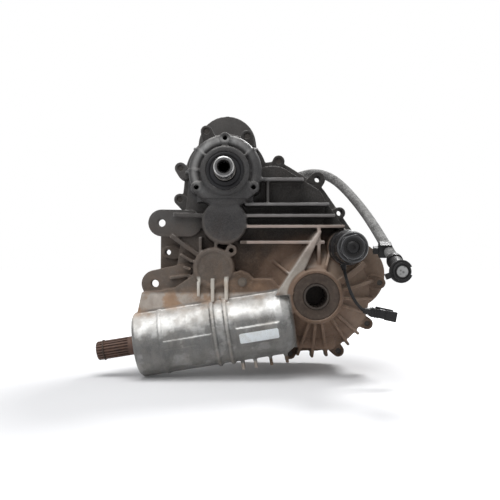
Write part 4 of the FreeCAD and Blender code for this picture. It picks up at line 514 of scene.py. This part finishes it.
shaft_way = (0.0, 1.0, 0.0)
axle_middle = (0.0, 0.0, 0.0)
input_place = tuple(joint_named("input_spin")["pos_m"])
snout_joint, transfer_joint = joint_named("output_spin"), joint_named("transfer_spin")
snout_way = Vector(snout_joint["axis"])
if snout_way.x > 0:
    snout_way.negate()
snout_apex = Vector((transfer_joint["pos_m"][0], snout_joint["pos_m"][1], transfer_joint["pos_m"][2]))

# Tones of the case, in metres from the axle's middle: a dark painted upper case with rubbed fins, brown dust on
# the lower case and the axle cover, and bare, washed metal on the snout, its three ribs and the gusset's ridge,
# with painted highlights and painted shade laid over them.
case_metal, tree, shader = plain_material("case_alloy")
place = object_place(tree)
across, depth, height = parts_of(tree, place)
ragged = times(tree, noise_mask(tree, place, 16.0, 0.2, 0.8, 4.0, 0.6), 0.03)
stain = noise_mask(tree, place, 30.0, 0.48, 0.64, 5.0, 0.6)
grey_patch = noise_mask(tree, place, 42.0, 0.42, 0.60, 4.0, 0.55)
streak_place = tree.nodes.new("ShaderNodeMapping")
streak_place.inputs["Scale"].default_value = (1.0, 1.0, 0.28)
tree.links.new(place, streak_place.inputs["Vector"])
streak = noise_mask(tree, streak_place.outputs["Vector"], 120.0, 0.44, 0.62, 6.0, 0.62)

# the snout is bright, washed metal
on_snout = times(
    tree,
    falling(tree, far_from_line(tree, snout_apex, snout_way), 0.0484, 0.0520),
    rising(tree, far_past(tree, snout_apex, snout_way), -0.0475, -0.0430),
)
# the gusset is rubbed pale along its ridge, more towards its foot, and stops at the axle seal's ring; its side,
# set back from the ridge, is left darker as painted shade
blade_top = (0.0068, 0.013, 0.092)
blade_down = (-0.504, -0.146, -0.851)
blade_inward = (0.0, 0.9856, -0.1691)
axle_far = far_from_line(tree, axle_middle, shaft_way)
blade_along = far_past(tree, blade_top, blade_down)
blade_ridge_and_side_shade = product(
    tree,
    falling(tree, far_from_line(tree, blade_top, blade_down), 0.014, 0.024),
    stretch(tree, far_past(tree, blade_top, blade_inward), 0.002, 0.012, 1.0, 0.12),
    band(tree, blade_along, -0.004, 0.006, 0.100, 0.112),
    stretch(tree, blade_along, 0.0, 0.095, 0.34, 0.95),
    rising(tree, axle_far, 0.0395, 0.0430),
)
# three ribs run from the lower pad down to the snout and are as bright as it
rib_soft = 0.0008
on_ribs = 0.0
for rib_x, rib_half in ((-0.166, 0.0022), (-0.146, 0.0027), (-0.1266, 0.0030)):
    rib_left, rib_right = rib_x - rib_half, rib_x + rib_half
    one_rib = band(tree, across, rib_left - rib_soft, rib_left, rib_right, rib_right + rib_soft)
    on_ribs = plus(tree, on_ribs, one_rib, True)
on_ribs = product(
    tree,
    on_ribs,
    falling(tree, depth, 0.0122, 0.0136),
    falling(tree, height, 0.024, 0.030),
    falling(tree, on_snout, 0.0, 1.0),
)
bright = plus(tree, plus(tree, on_snout, on_ribs, True), blade_ridge_and_side_shade, True)
# brown dust thickens downwards, and the axle cover is the warmest, palest on the upper sides of its ribs
low = falling(tree, plus(tree, height, ragged), 0.035, 0.125)
left = falling(tree, across, -0.128, -0.108)
on_cover = times(tree, falling(tree, axle_far, 0.086, 0.098), falling(tree, depth, 0.060, 0.074))
pale_upper_side = product(
    tree, on_cover, facing_up(tree, 0.10, 0.75), stretch(tree, across, -0.020, 0.030, 0.25, 1.0)
)
right_lobe = times(tree, rising(tree, across, 0.040, 0.062), falling(tree, height, 0.050, 0.085))
# the input dome is dark and oily, and the crest of its bulge carries a painted highlight, most at the upper
# left
dome_far = far_from_line(tree, input_place, shaft_way)
on_dome = times(tree, falling(tree, dome_far, 0.056, 0.064), falling(tree, depth, 0.040, 0.050))
rightward = times(tree, plus(tree, across, -input_place[0]), -0.60)
upward = times(tree, plus(tree, height, -input_place[2]), 0.80)
painted_crest_highlight = product(
    tree,
    band(tree, dome_far, 0.0370, 0.0430, 0.0440, 0.0505),
    on_dome,
    rising(tree, plus(tree, upward, rightward), -0.022, 0.036),
)
painted_crest_highlight = times(tree, painted_crest_highlight, plus(tree, times(tree, streak, 0.25), 0.62), True)
counter_pad = (-0.1285, 0.0, 0.108)
pad_far = far_from_line(tree, counter_pad, shaft_way)
on_pad = times(tree, falling(tree, pad_far, 0.028, 0.031), falling(tree, depth, 0.018, 0.024))
# oily dirt and painted shade darken the deep wall between the fins, whose proud front edges are rubbed and
# carry a painted highlight
deep_dirt_and_shade = product(
    tree,
    band(tree, depth, 0.017, 0.030, 0.056, 0.066),
    rising(tree, across, -0.176, -0.160),
    rising(tree, axle_far, 0.080, 0.092),
)
oily_dirt_and_shade = mixed(tree, low, (0.012, 0.011, 0.010), (0.046, 0.030, 0.022))
proud_rub_and_highlight = product(
    tree,
    falling(tree, depth, 0.0136, 0.0160),
    rising(tree, across, -0.0985, -0.0965),
    band(tree, height, 0.060, 0.072, 0.168, 0.176),
    stretch(tree, on_dome, 0.0, 1.0, 0.78, 0.10),
)
fin_edge_rub_and_highlight = mixed(tree, falling(tree, height, 0.100, 0.118), (0.185, 0.180, 0.180), (0.50, 0.40, 0.35))
# painted sheen: light streaky patches on faces that look up, fainter on the dusty lower case
painted_top_sheen = product(
    tree, facing_up(tree, 0.30, 0.90), streak, stretch(tree, low, 0.0, 1.0, 0.60, 0.10)
)
# the web's foot, which runs out into the snout's top, is washed pale too and carries a painted highlight, with
# a tan stain along its left end
foot_wash_and_highlight = product(
    tree,
    falling(tree, plus(tree, height, times(tree, ragged, 0.10)), 0.0030, 0.0085),
    falling(tree, depth, 0.024, 0.034),
    falling(tree, across, -0.086, -0.070),
    plus(tree, times(tree, streak, 0.15), 0.78),
)
foot_skin_and_highlight = mixed(tree, stain, (0.66, 0.625, 0.575), (0.54, 0.40, 0.295))
tan_start = (-0.168, 0.018, -0.004)
tan_way = (0.9915, 0.0, 0.13)
tan_far = plus(tree, far_from_line(tree, tan_start, tan_way), times(tree, ragged, -0.6))
tan_strip = product(
    tree,
    falling(tree, tan_far, -0.002, 0.014),
    falling(tree, far_past(tree, tan_start, tan_way), 0.075, 0.110),
    plus(tree, times(tree, stain, 0.55), 0.12),
)
# the snout's top carries a painted highlight almost white, and its front and underside are painted dull grey as
# shade
painted_top_highlight = plus(tree, facing_up(tree, 0.16, 0.66), times(tree, plus(tree, grey_patch, -0.5), 0.34), True)
dull_painted_shade = mixed(tree, facing_up(tree, -0.75, -0.10), (0.215, 0.213, 0.205), (0.140, 0.142, 0.141))
metal_with_painted_light = mixed(tree, painted_top_highlight, dull_painted_shade, (0.74, 0.745, 0.735))
washed_with_painted_light = layered(
    tree,
    metal_with_painted_light,
    (times(tree, streak, 0.42), mixed(tree, 1.0, metal_with_painted_light, (0.60, 0.61, 0.61), "MULTIPLY")),
    (times(tree, stain, 0.26), mixed(tree, painted_top_highlight, (0.150, 0.130, 0.108), (0.54, 0.45, 0.35))),
    (times(tree, on_ribs, 0.9), (0.70, 0.67, 0.60)),
    (times(tree, blade_ridge_and_side_shade, 0.8), (0.40, 0.36, 0.31)),
)
skin = layered(
    tree,
    mixed(tree, low, (0.062, 0.059, 0.057), (0.108, 0.077, 0.057)),
    (times(tree, left, low), (0.102, 0.092, 0.082)),
    (on_dome, (0.034, 0.034, 0.035)),
    (painted_crest_highlight, (0.33, 0.33, 0.325)),
    (on_pad, (0.042, 0.041, 0.042)),
    (on_cover, (0.150, 0.098, 0.070)),
    (times(tree, pale_upper_side, 0.75), (0.46, 0.365, 0.290)),
    (times(tree, right_lobe, 0.62), (0.250, 0.185, 0.140)),
    (times(tree, deep_dirt_and_shade, 0.88), oily_dirt_and_shade),
    (proud_rub_and_highlight, fin_edge_rub_and_highlight),
    (painted_top_sheen, (0.36, 0.355, 0.345)),
    (foot_wash_and_highlight, foot_skin_and_highlight),
    (bright, washed_with_painted_light),
    (tan_strip, (0.40, 0.245, 0.145)),
)
weathering_and_highlight = tree.nodes.new("ShaderNodeGroup")
weathering_and_highlight.node_tree = grime_and_highlight_group
weathering_and_highlight.inputs["Grime"].default_value = (0.014, 0.011, 0.009, 1.0)
bare_case = mixed(tree, low, (0.46, 0.455, 0.45), (0.50, 0.38, 0.30))
less_dust = stretch(tree, bright, 0.0, 1.0, 1.0, 0.30)
for label, source in (
    ("Skin", skin),
    ("Bare", mixed(tree, bright, bare_case, (0.66, 0.66, 0.65))),
    ("Dust", mixed(tree, bright, (0.24, 0.155, 0.105), (0.52, 0.45, 0.37))),
    ("Dust Share", times(tree, plus(tree, times(tree, low, 0.50), 0.05), less_dust)),
    ("Edge Rub And Highlight Share", stretch(tree, low, 0.0, 1.0, 0.95, 0.85)),
    ("Grime Share", stretch(tree, bright, 0.0, 1.0, 0.95, 0.30)),
):
    tree.links.new(source, weathering_and_highlight.inputs[label])
shiny = plus(tree, bright, times(tree, on_dome, 0.8), True)
gloss = plus(tree, stretch(tree, shiny, 0.0, 1.0, 1.0, 0.58), times(tree, stain, 0.16))
tree.links.new(weathering_and_highlight.outputs["Color"], shader["Base Color"])
tree.links.new(times(tree, weathering_and_highlight.outputs["Roughness"], gloss, True), shader["Roughness"])
tree.links.new(weathering_and_highlight.outputs["Normal"], shader["Normal"])
tree.links.new(times(tree, on_snout, stretch(tree, stain, 0.0, 1.0, 0.40, 0.15)), shader["Metallic"])

for node, name, grain_size, limit in (
    ("front_case", "front_casting", 0.0012, 190000),
    ("rear_case", "rear_casting", 0.0014, 120000),
):
    casting = cast_copy(node, name, grain_size, 3, limit)
    casting.data.materials.append(case_metal)
    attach(casting, "case")


# Bare label: a pale foil plate with rounded corners, stuck in the raised frame on the snout's front. Nothing
# is printed on it.
label_radius = 0.0482
label_along = (-0.0215, 0.0330)
label_turns = (-20.5, -3.5)
up_from_snout = Vector((-snout_way.z, 0.0, snout_way.x))
if up_from_snout.z < 0:
    up_from_snout.negate()


def snout_surface(along_m, turn_deg, radius):
    """A point on the snout's front, a turn above the level line that faces the viewer."""
    turn = math.radians(turn_deg)
    out = Vector((0.0, -1.0, 0.0)) * math.cos(turn) + up_from_snout * math.sin(turn)
    return snout_apex + snout_way * along_m + out * radius


def snout_plate(name, alongs, turns, inner, outer, corner, steps=10):
    """A thin plate bent round the snout, with its corners cut round."""
    mesh = bmesh.new()
    a0, a1 = alongs
    t0, t1 = turns
    per_degree = math.radians(1.0) * outer
    rows = []
    for i in range(steps + 1):
        share = i / steps
        turn = t0 + (t1 - t0) * share
        inset = 0.0
        from_side = min(share, 1.0 - share) * (t1 - t0) * per_degree
        if from_side < corner:
            inset = corner - math.sqrt(max(corner * corner - (corner - from_side) ** 2, 0.0))
        columns = [a0 + inset + (a1 - a0 - 2 * inset) * k / steps for k in range(steps + 1)]
        rows.append([
            (mesh.verts.new(snout_surface(a, turn, inner)), mesh.verts.new(snout_surface(a, turn, outer)))
            for a in columns
        ])
    for i in range(steps):
        for k in range(steps):
            a, b, c, d = rows[i][k], rows[i][k + 1], rows[i + 1][k + 1], rows[i + 1][k]
            mesh.faces.new((a[1], b[1], c[1], d[1]))
            mesh.faces.new((d[0], c[0], b[0], a[0]))
    rim = rows[0] + [row[-1] for row in rows[1:]] + rows[-1][-2::-1] + [row[0] for row in rows[-2:0:-1]]
    for a, b in zip(rim, rim[1:] + rim[:1]):
        mesh.faces.new((a[0], b[0], b[1], a[1]))
    bmesh.ops.recalc_face_normals(mesh, faces=mesh.faces)
    data = bpy.data.meshes.new(name)
    mesh.to_mesh(data)
    mesh.free()
    return link_mesh(name, data)


foil, tree, shader = plain_material("label_foil", rough=0.34, metal=0.25)
place = object_place(tree)
smudge = noise_mask(tree, place, 120.0, 0.40, 0.70, 5.0, 0.6)
scratch = noise_mask(tree, place, 700.0, 0.60, 0.70, 2.0, 0.5)
paper = mixed(tree, times(tree, smudge, 0.30), (0.72, 0.76, 0.78), (0.52, 0.47, 0.40))
tree.links.new(mixed(tree, times(tree, scratch, 0.4), paper, (0.40, 0.40, 0.40)), shader["Base Color"])
tree.links.new(stretch(tree, smudge, 0.0, 1.0, 0.30, 0.60), shader["Roughness"])
label_inner, label_outer = label_radius - 0.0006, label_radius + 0.0002
label = snout_plate("blank_label", label_along, label_turns, label_inner, label_outer, corner=0.0016)
label.data.materials.append(foil)
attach(label, "case")


# Case screws: nine flange-head steel screws, turned in from behind through the rear flange. Their tips, sunk in
# the ears of the front casting, are painted much darker.
def weathered_and_highlighted(name, skin, bare, dust=(0.24, 0.17, 0.12), shares=(0.2, 0.6, 0.6), gloss=1.0, metal=0.0):
    """A finish from the casting's ageing and painted edge highlight; shares are those of dust, rubbed edges
    with their highlight, and grime.
    """
    material, tree, shader = plain_material(name, metal=metal)
    weathering_and_highlight = tree.nodes.new("ShaderNodeGroup")
    weathering_and_highlight.node_tree = grime_and_highlight_group
    for label, colour in (("Skin", skin), ("Bare", bare), ("Dust", dust)):
        weathering_and_highlight.inputs[label].default_value = (*colour, 1.0)
    for label, share in zip(("Dust Share", "Edge Rub And Highlight Share", "Grime Share"), shares):
        weathering_and_highlight.inputs[label].default_value = share
    tree.links.new(weathering_and_highlight.outputs["Color"], shader["Base Color"])
    tree.links.new(times(tree, weathering_and_highlight.outputs["Roughness"], gloss, True), shader["Roughness"])
    tree.links.new(weathering_and_highlight.outputs["Normal"], shader["Normal"])
    return material, tree, shader, weathering_and_highlight


def finish(material, *names):
    """Gives a material to pieces that keep the solid's own mesh."""
    for name in names:
        piece = nodes[name]
        if not piece.material_slots:
            piece.data.materials.append(material)
        for slot in piece.material_slots:
            slot.material = material


screw_steel, tree, shader, weathering_and_highlight = weathered_and_highlighted(
    "screw_steel", (0.15, 0.14, 0.13), (0.44, 0.43, 0.41), shares=(0.08, 0.8, 0.7), gloss=0.70, metal=0.40
)
screw_depth = parts_of(tree, object_place(tree))[1]
screw_tip = falling(tree, screw_depth, 0.066, 0.074)
tree.links.new(mixed(tree, screw_tip, (0.15, 0.14, 0.13), (0.030, 0.026, 0.023)), weathering_and_highlight.inputs["Skin"])
finish(screw_steel, "case_bolts")

# Gasket between the case halves: a thin dark sheet of pressed fibre, cut to the flange and clamped by the case
# screws. Only its edge shows.
gasket_fibre = weathered_and_highlighted(
    "gasket_fibre", (0.050, 0.045, 0.040), (0.12, 0.11, 0.10), shares=(0.2, 0.2, 0.3), gloss=1.2
)[0]
finish(gasket_fibre, "case_gasket")

# Input shaft: a steel stub with a turned and polished nose that carries the belt drive's clutch. It is drilled
# for the clutch bolt, with painted shade inside the bore, and its end is stained.
nose_steel, tree, shader, weathering_and_highlight = weathered_and_highlighted(
    "polished_nose", (0.60, 0.60, 0.60), (0.85, 0.85, 0.85), shares=(0.0, 0.5, 0.5), gloss=0.36, metal=0.90
)
place = object_place(tree)
nose_far = far_from_line(tree, input_place, shaft_way)
nose_depth = parts_of(tree, place)[1]
bore_shade = times(tree, falling(tree, nose_far, 0.0092, 0.0102), 0.97)
oily = rising(tree, nose_depth, -0.012, 0.000)
ringed = noise_mask(tree, place, 90.0, 0.35, 0.7, 4.0, 0.6)
end_face = times(tree, falling(tree, nose_far, 0.0120, 0.0127), falling(tree, nose_depth, -0.0412, -0.0406))
colour = layered(
    tree,
    (0.50, 0.50, 0.50),
    (times(tree, ringed, 0.55), (0.20, 0.19, 0.18)),
    (oily, (0.10, 0.09, 0.08)),
    (times(tree, end_face, 0.92), (0.060, 0.060, 0.063)),
    (bore_shade, (0.016, 0.014, 0.013)),
)
tree.links.new(colour, weathering_and_highlight.inputs["Skin"])
finish(nose_steel, "input_shaft")

# Input and output seals: black rubber lip seals in pressed cans, driven in level with their rings on the dome
# and the snout.
seal_rubber = weathered_and_highlighted(
    "seal_rubber", (0.010, 0.010, 0.012), (0.04, 0.04, 0.045), dust=(0.05, 0.045, 0.04),
    shares=(0.10, 0.4, 0.3), gloss=0.62,
)[0]
finish(seal_rubber, "input_seal", "output_seal")

# Axle seals: brown-dusted rubber moulded over a pressed can, driven into the axle bores on both sides and
# thick with dry dust.
dusty_rubber = weathered_and_highlighted(
    "dusty_seal", (0.058, 0.044, 0.036), (0.16, 0.125, 0.10), dust=(0.20, 0.145, 0.11),
    shares=(0.30, 0.4, 0.8), gloss=1.1,
)[0]
finish(dusty_rubber, "axle_seal_front", "axle_seal_rear")

# Axle hubs: the side gears' hollow steel sleeves, which take the axles' splines and run in the seals. They
# are blackened, with painted shade in the bore.
hub_steel, tree, shader, weathering_and_highlight = weathered_and_highlighted(
    "hub_steel", (0.045, 0.038, 0.034), (0.20, 0.17, 0.15), shares=(0.15, 0.6, 0.6), gloss=0.75, metal=0.35
)
hub_bore_shade = falling(tree, far_from_line(tree, axle_middle, shaft_way), 0.0150, 0.0158)
tree.links.new(mixed(tree, hub_bore_shade, (0.040, 0.034, 0.030), (0.006, 0.005, 0.005)), weathering_and_highlight.inputs["Skin"])
finish(hub_steel, "side_gear_front", "side_gear_rear")

# Output stub: a splined steel shaft for the front propeller shaft, rusty brown with rubbed tooth crests, and
# the wire snap ring that is sprung into its groove.
rust_steel, tree, shader, weathering_and_highlight = weathered_and_highlighted(
    "rusty_spline", (0.100, 0.062, 0.050), (0.30, 0.24, 0.22), dust=(0.22, 0.13, 0.09),
    shares=(0.30, 0.7, 0.8), gloss=0.92, metal=0.25,
)
tooth_crest = rising(tree, far_from_line(tree, snout_apex, snout_way), 0.0118, 0.0134)
rust_bloom = noise_mask(tree, object_place(tree), 110.0, 0.38, 0.66, 5.0, 0.65)
colour = mixed(tree, tooth_crest, (0.030, 0.020, 0.017), (0.130, 0.088, 0.076))
colour = mixed(tree, times(tree, rust_bloom, 0.45), colour, (0.17, 0.085, 0.050))
tree.links.new(colour, weathering_and_highlight.inputs["Skin"])
finish(rust_steel, "output_shaft")
spring_wire = weathered_and_highlighted(
    "spring_wire", (0.055, 0.040, 0.034), (0.16, 0.13, 0.115), shares=(0.2, 0.5, 0.5), gloss=0.8, metal=0.4
)[0]
finish(spring_wire, "output_snap_ring")

# Lock solenoid: a steel can dipped in glossy black paint and seated on the case, closed by a hex cap nut with
# a plastic plug in its middle. Can and nut are shown by copies with softened edges.
black_paint, tree, shader, weathering_and_highlight = weathered_and_highlighted(
    "black_paint", (0.008, 0.008, 0.009), (0.260, 0.260, 0.265), dust=(0.06, 0.045, 0.035),
    shares=(0.05, 0.80, 0.5), gloss=0.40,
)
shader["Specular IOR Level"].default_value = 0.10
shader["Coat Weight"].default_value = 0.30
shader["Coat Roughness"].default_value = 0.12
nut_corners = [Vector(corner) for corner in nodes["solenoid_nut"].bound_box]
nut_middle = nodes["solenoid_nut"].matrix_world @ (sum(nut_corners, Vector()) / len(nut_corners))
nut_far = far_from_line(tree, tuple(nut_middle), shaft_way)
# painted shade makes the nut's well near black, also on its rubbed edges, and a painted highlight lightens the
# ring round it
nut_well_shade = falling(tree, nut_far, 0.0118, 0.0126)
nut_rim_highlight = band(tree, nut_far, 0.0128, 0.0134, 0.0148, 0.0156)
black_with_painted_light = mixed(tree, nut_well_shade, (0.008, 0.008, 0.009), (0.003, 0.003, 0.0035))
black_with_painted_light = mixed(tree, times(tree, nut_rim_highlight, 0.5), black_with_painted_light, (0.030, 0.030, 0.032))
tree.links.new(black_with_painted_light, weathering_and_highlight.inputs["Skin"])
tree.links.new(mixed(tree, nut_well_shade, (0.260, 0.260, 0.265), (0.010, 0.010, 0.010)), weathering_and_highlight.inputs["Bare"])
for node, name, grain_size, limit in (
    ("solenoid_body", "solenoid_can", 0.0007, 60000),
    ("solenoid_nut", "solenoid_cap", 0.0003, 30000),
):
    rounded = cast_copy(node, name, grain_size, 1, limit)
    rounded.data.materials.append(black_paint)
    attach(rounded, "case")
cap_plastic = weathered_and_highlighted(
    "cap_plastic", (0.005, 0.005, 0.006), (0.03, 0.03, 0.03), dust=(0.04, 0.03, 0.025),
    shares=(0.06, 0.5, 0.4), gloss=0.55,
)[0]
finish(cap_plastic, "solenoid_plug")

# Plugs of the loom and of the lead: moulded black plastic with moulded clips, a little dusty. The round plug's
# shell holds a grey contact face with a few sealed cavities, painted as dark spots of shade, and a ring of the
# same plastic locks it.
plug_dust, plug_shares = (0.07, 0.055, 0.045), (0.12, 0.7, 0.5)
plug_plastic = weathered_and_highlighted(
    "plug_plastic", (0.009, 0.009, 0.010), (0.08, 0.08, 0.08), dust=plug_dust, shares=plug_shares, gloss=0.62
)[0]
finish(plug_plastic, "loom_lock_ring", "loom_clip", "lead_connector", "gear_position_sensor")
socket_plastic, tree, shader, weathering_and_highlight = weathered_and_highlighted(
    "socket_plastic", (0.009, 0.009, 0.010), (0.08, 0.08, 0.08), dust=plug_dust, shares=plug_shares, gloss=0.62
)
place = object_place(tree)
face_far = far_from_line(tree, tuple(joint_named("connector_ring_turn")["pos_m"]), shaft_way)
contact_face = times(
    tree, falling(tree, face_far, 0.0066, 0.0074), falling(tree, parts_of(tree, place)[1], -0.1036, -0.1032)
)
cells = tree.nodes.new("ShaderNodeTexVoronoi")
cells.inputs["Scale"].default_value = 240.0
cells.inputs["Randomness"].default_value = 0.8
tree.links.new(place, cells.inputs["Vector"])
cavity_shade = falling(tree, cells.outputs["Distance"], 0.15, 0.50)
face_colour = mixed(tree, times(tree, cavity_shade, 0.80), (0.40, 0.40, 0.395), (0.10, 0.10, 0.10))
tree.links.new(mixed(tree, contact_face, (0.009, 0.009, 0.010), face_colour), weathering_and_highlight.inputs["Skin"])
finish(socket_plastic, "loom_connector")

# Loom sleeve: a soft grey fabric wrap over the wires, taped at both ends. It is mottled with wear, and darker
# where it is handled.
loom_cloth, tree, shader = plain_material("loom_cloth", rough=0.85)
place = object_place(tree)
mottle = noise_mask(tree, place, 85.0, 0.34, 0.66, 6.0, 0.7)
fleck = noise_mask(tree, place, 520.0, 0.46, 0.62, 3.0, 0.6)
handled = noise_mask(tree, place, 14.0, 0.40, 0.62, 2.0, 0.5)
cloth = layered(
    tree,
    (0.080, 0.079, 0.077),
    (mottle, (0.215, 0.213, 0.208)),
    (times(tree, fleck, 0.45), (0.42, 0.41, 0.40)),
    (times(tree, handled, 0.35), (0.07, 0.068, 0.065)),
)
tree.links.new(cloth, shader["Base Color"])
tree.links.new(stretch(tree, fleck, 0.0, 1.0, 0.78, 0.92), shader["Roughness"])
tree.links.new(bumped(tree, plus(tree, fleck, mottle), 0.5, 0.0005), shader["Normal"])
sensor_loom.data.materials.append(loom_cloth)

# Lead sheath: smooth black rubber drawn over the two wires, with a dry, dusty bloom that comes and goes along
# its length.
lead_rubber, tree, shader = plain_material("lead_rubber", rough=0.55)
dry_bloom = noise_mask(tree, object_place(tree), 160.0, 0.40, 0.70, 4.0, 0.6)
sheath = mixed(tree, times(tree, dry_bloom, 0.6), (0.010, 0.010, 0.011), (0.045, 0.040, 0.036))
tree.links.new(sheath, shader["Base Color"])
tree.links.new(stretch(tree, dry_bloom, 0.0, 1.0, 0.42, 0.66), shader["Roughness"])
solenoid_lead.data.materials.append(lead_rubber)


# Tapered rubber sleeves where the loom leaves its sensor and the lead leaves the solenoid: moulded with rings
# that let them bend. One node tree sweeps a ribbed, narrowing round along the first stretch of each cord.
sleeve_tree = bpy.data.node_groups.new("ribbed_sleeve", "GeometryNodeTree")
sleeve_tree.is_modifier = True
for label, kind, value in (
    ("Start", "NodeSocketVector", (0.0, 0.0, 0.0)),
    ("End", "NodeSocketVector", (0.0, 0.0, 0.01)),
    ("Wide Radius", "NodeSocketFloat", 0.009),
    ("Slim Radius", "NodeSocketFloat", 0.007),
    ("Ring Depth", "NodeSocketFloat", 0.0006),
    ("Rings", "NodeSocketInt", 5),
    ("Rubber", "NodeSocketMaterial", None),
):
    socket = sleeve_tree.interface.new_socket(label, in_out="INPUT", socket_type=kind)
    if value is not None:
        socket.default_value = value
sleeve_tree.interface.new_socket("Geometry", in_out="OUTPUT", socket_type="NodeSocketGeometry")
sleeve_in = sleeve_tree.nodes.new("NodeGroupInput").outputs
axis = sleeve_tree.nodes.new("GeometryNodeCurvePrimitiveLine")
sleeve_tree.links.new(sleeve_in["Start"], axis.inputs["Start"])
sleeve_tree.links.new(sleeve_in["End"], axis.inputs["End"])
steps = sleeve_tree.nodes.new("GeometryNodeResampleCurve")
steps.inputs["Count"].default_value = 61
sleeve_tree.links.new(axis.outputs["Curve"], steps.inputs["Curve"])
share = sleeve_tree.nodes.new("GeometryNodeSplineParameter").outputs["Factor"]
taper = sleeve_tree.nodes.new("ShaderNodeMapRange")
sleeve_tree.links.new(share, taper.inputs["Value"])
sleeve_tree.links.new(sleeve_in["Wide Radius"], taper.inputs["To Min"])
sleeve_tree.links.new(sleeve_in["Slim Radius"], taper.inputs["To Max"])
wave = sleeve_tree.nodes.new("ShaderNodeMath")
wave.operation = "SINE"
turns = times(sleeve_tree, times(sleeve_tree, share, sleeve_in["Rings"]), 2 * math.pi)
sleeve_tree.links.new(turns, wave.inputs[0])
ring_height = times(sleeve_tree, plus(sleeve_tree, wave.outputs[0], 1.0), sleeve_in["Ring Depth"])
hoop = sleeve_tree.nodes.new("GeometryNodeCurvePrimitiveCircle")
hoop.inputs["Resolution"].default_value = 36
hoop.inputs["Radius"].default_value = 1.0
swept = sleeve_tree.nodes.new("GeometryNodeCurveToMesh")
swept.inputs["Fill Caps"].default_value = True
sleeve_tree.links.new(steps.outputs["Curve"], swept.inputs["Curve"])
sleeve_tree.links.new(plus(sleeve_tree, taper.outputs["Result"], ring_height), swept.inputs["Scale"])
sleeve_tree.links.new(hoop.outputs["Curve"], swept.inputs["Profile Curve"])
real = sleeve_tree.nodes.new("GeometryNodeRealizeInstances")
sleeve_tree.links.new(swept.outputs["Mesh"], real.inputs["Geometry"])
coated = sleeve_tree.nodes.new("GeometryNodeSetMaterial")
sleeve_tree.links.new(real.outputs["Geometry"], coated.inputs["Geometry"])
sleeve_tree.links.new(sleeve_in["Rubber"], coated.inputs["Material"])
sleeve_tree.links.new(
    coated.outputs["Geometry"], sleeve_tree.nodes.new("NodeGroupOutput").inputs["Geometry"]
)


def ribbed_sleeve(name, route, long_m, sizes):
    """A ringed sleeve along a cord's first stretch; sizes are its wide and slim radius and the ring depth."""
    start = Vector(route[0])
    end = start + (Vector(route[1]) - start).normalized() * long_m
    values = {
        "Start": tuple(start), "End": tuple(end), "Wide Radius": sizes[0], "Slim Radius": sizes[1],
        "Ring Depth": sizes[2], "Rings": 5, "Rubber": seal_rubber,
    }
    piece = link_mesh(name, bpy.data.meshes.new(name))
    grow = piece.modifiers.new("grow", "NODES")
    grow.node_group = sleeve_tree
    for item in sleeve_tree.interface.items_tree:
        if item.name in values:
            grow[item.identifier] = values[item.name]
    flatten(piece)
    shape = bmesh.new()
    shape.from_mesh(piece.data)
    bmesh.ops.remove_doubles(shape, verts=shape.verts, dist=1e-7)
    bmesh.ops.recalc_face_normals(shape, faces=shape.faces)
    shape.to_mesh(piece.data)
    shape.free()
    for polygon in piece.data.polygons:
        polygon.use_smooth = len(polygon.vertices) == 4
    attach(piece, "case")


ribbed_sleeve("loom_boot", loom_route, 0.012, (0.0082, 0.00735, 0.0005))
ribbed_sleeve("lead_boot", lead_route, 0.0075, (0.0036, 0.0023, 0.0003))

# Level and drain plugs: hex-head steel plugs with a flange, screwed into the front wall and the sump and
# dulled by dust.
plug_steel = weathered_and_highlighted(
    "plug_steel", (0.13, 0.115, 0.10), (0.36, 0.33, 0.30), shares=(0.40, 0.7, 0.8), gloss=0.85, metal=0.4
)[0]
finish(plug_steel, "level_plug", "drain_plug")

# Cover on the back of the round housing: a pressed alloy disc held by four small zinc-plated screws. The shift
# fork inside is of the same alloy, and the ring gear's bolts are plated like the screws.
cover_alloy = weathered_and_highlighted(
    "cover_alloy", (0.20, 0.195, 0.19), (0.5, 0.5, 0.5), shares=(0.25, 0.6, 0.7), gloss=0.8, metal=0.6
)[0]
finish(cover_alloy, "top_cover", "shift_fork")
small_zinc = weathered_and_highlighted(
    "small_zinc", (0.34, 0.33, 0.30), (0.62, 0.61, 0.58), shares=(0.15, 0.6, 0.5), gloss=0.65, metal=0.8
)[0]
finish(small_zinc, "top_cover_screws", "ring_bolts")

# Selector lever: stamped, zinc-plated steel, set on the drum's flats on the far side and held by a thin nut of
# the same finish.
lever_zinc = weathered_and_highlighted(
    "lever_zinc", (0.26, 0.25, 0.22), (0.55, 0.54, 0.50), shares=(0.25, 0.7, 0.6), gloss=0.72, metal=0.75
)[0]
finish(lever_zinc, "selector_lever", "lever_nut")

# Gears, shafts, collars and forks inside: case-hardened steel, cut, then ground on the flanks and wet with
# brown oil.
gear_steel = weathered_and_highlighted(
    "oiled_gear_steel", (0.34, 0.325, 0.30), (0.60, 0.59, 0.57), dust=(0.12, 0.09, 0.06),
    shares=(0.10, 0.5, 0.4), gloss=0.48, metal=0.90,
)[0]
finish(
    gear_steel,
    "counter_shaft", "high_gear", "low_gear", "dog_collar", "intermediate_shaft", "intermediate_gear",
    "reverse_gear", "reverse_idler", "idler_pin", "differential_carrier", "ring_gear", "cross_pin",
    "spider_gear_upper", "spider_gear_lower", "lock_collar", "lock_fork", "lock_rod", "transfer_shaft",
    "transfer_bevel", "fork_rail", "shift_drum",
)

# Ball bearings: polished steel rings with sealed faces, pressed on the shafts and held in the pads of the two
# case halves.
race_steel = weathered_and_highlighted(
    "race_steel", (0.56, 0.56, 0.55), (0.78, 0.78, 0.77), shares=(0.04, 0.4, 0.3), gloss=0.36, metal=0.95
)[0]
finish(
    race_steel,
    "input_bearings", "counter_bearings", "intermediate_bearings", "transfer_bearings",
    "differential_bearings", "output_bearings",
)
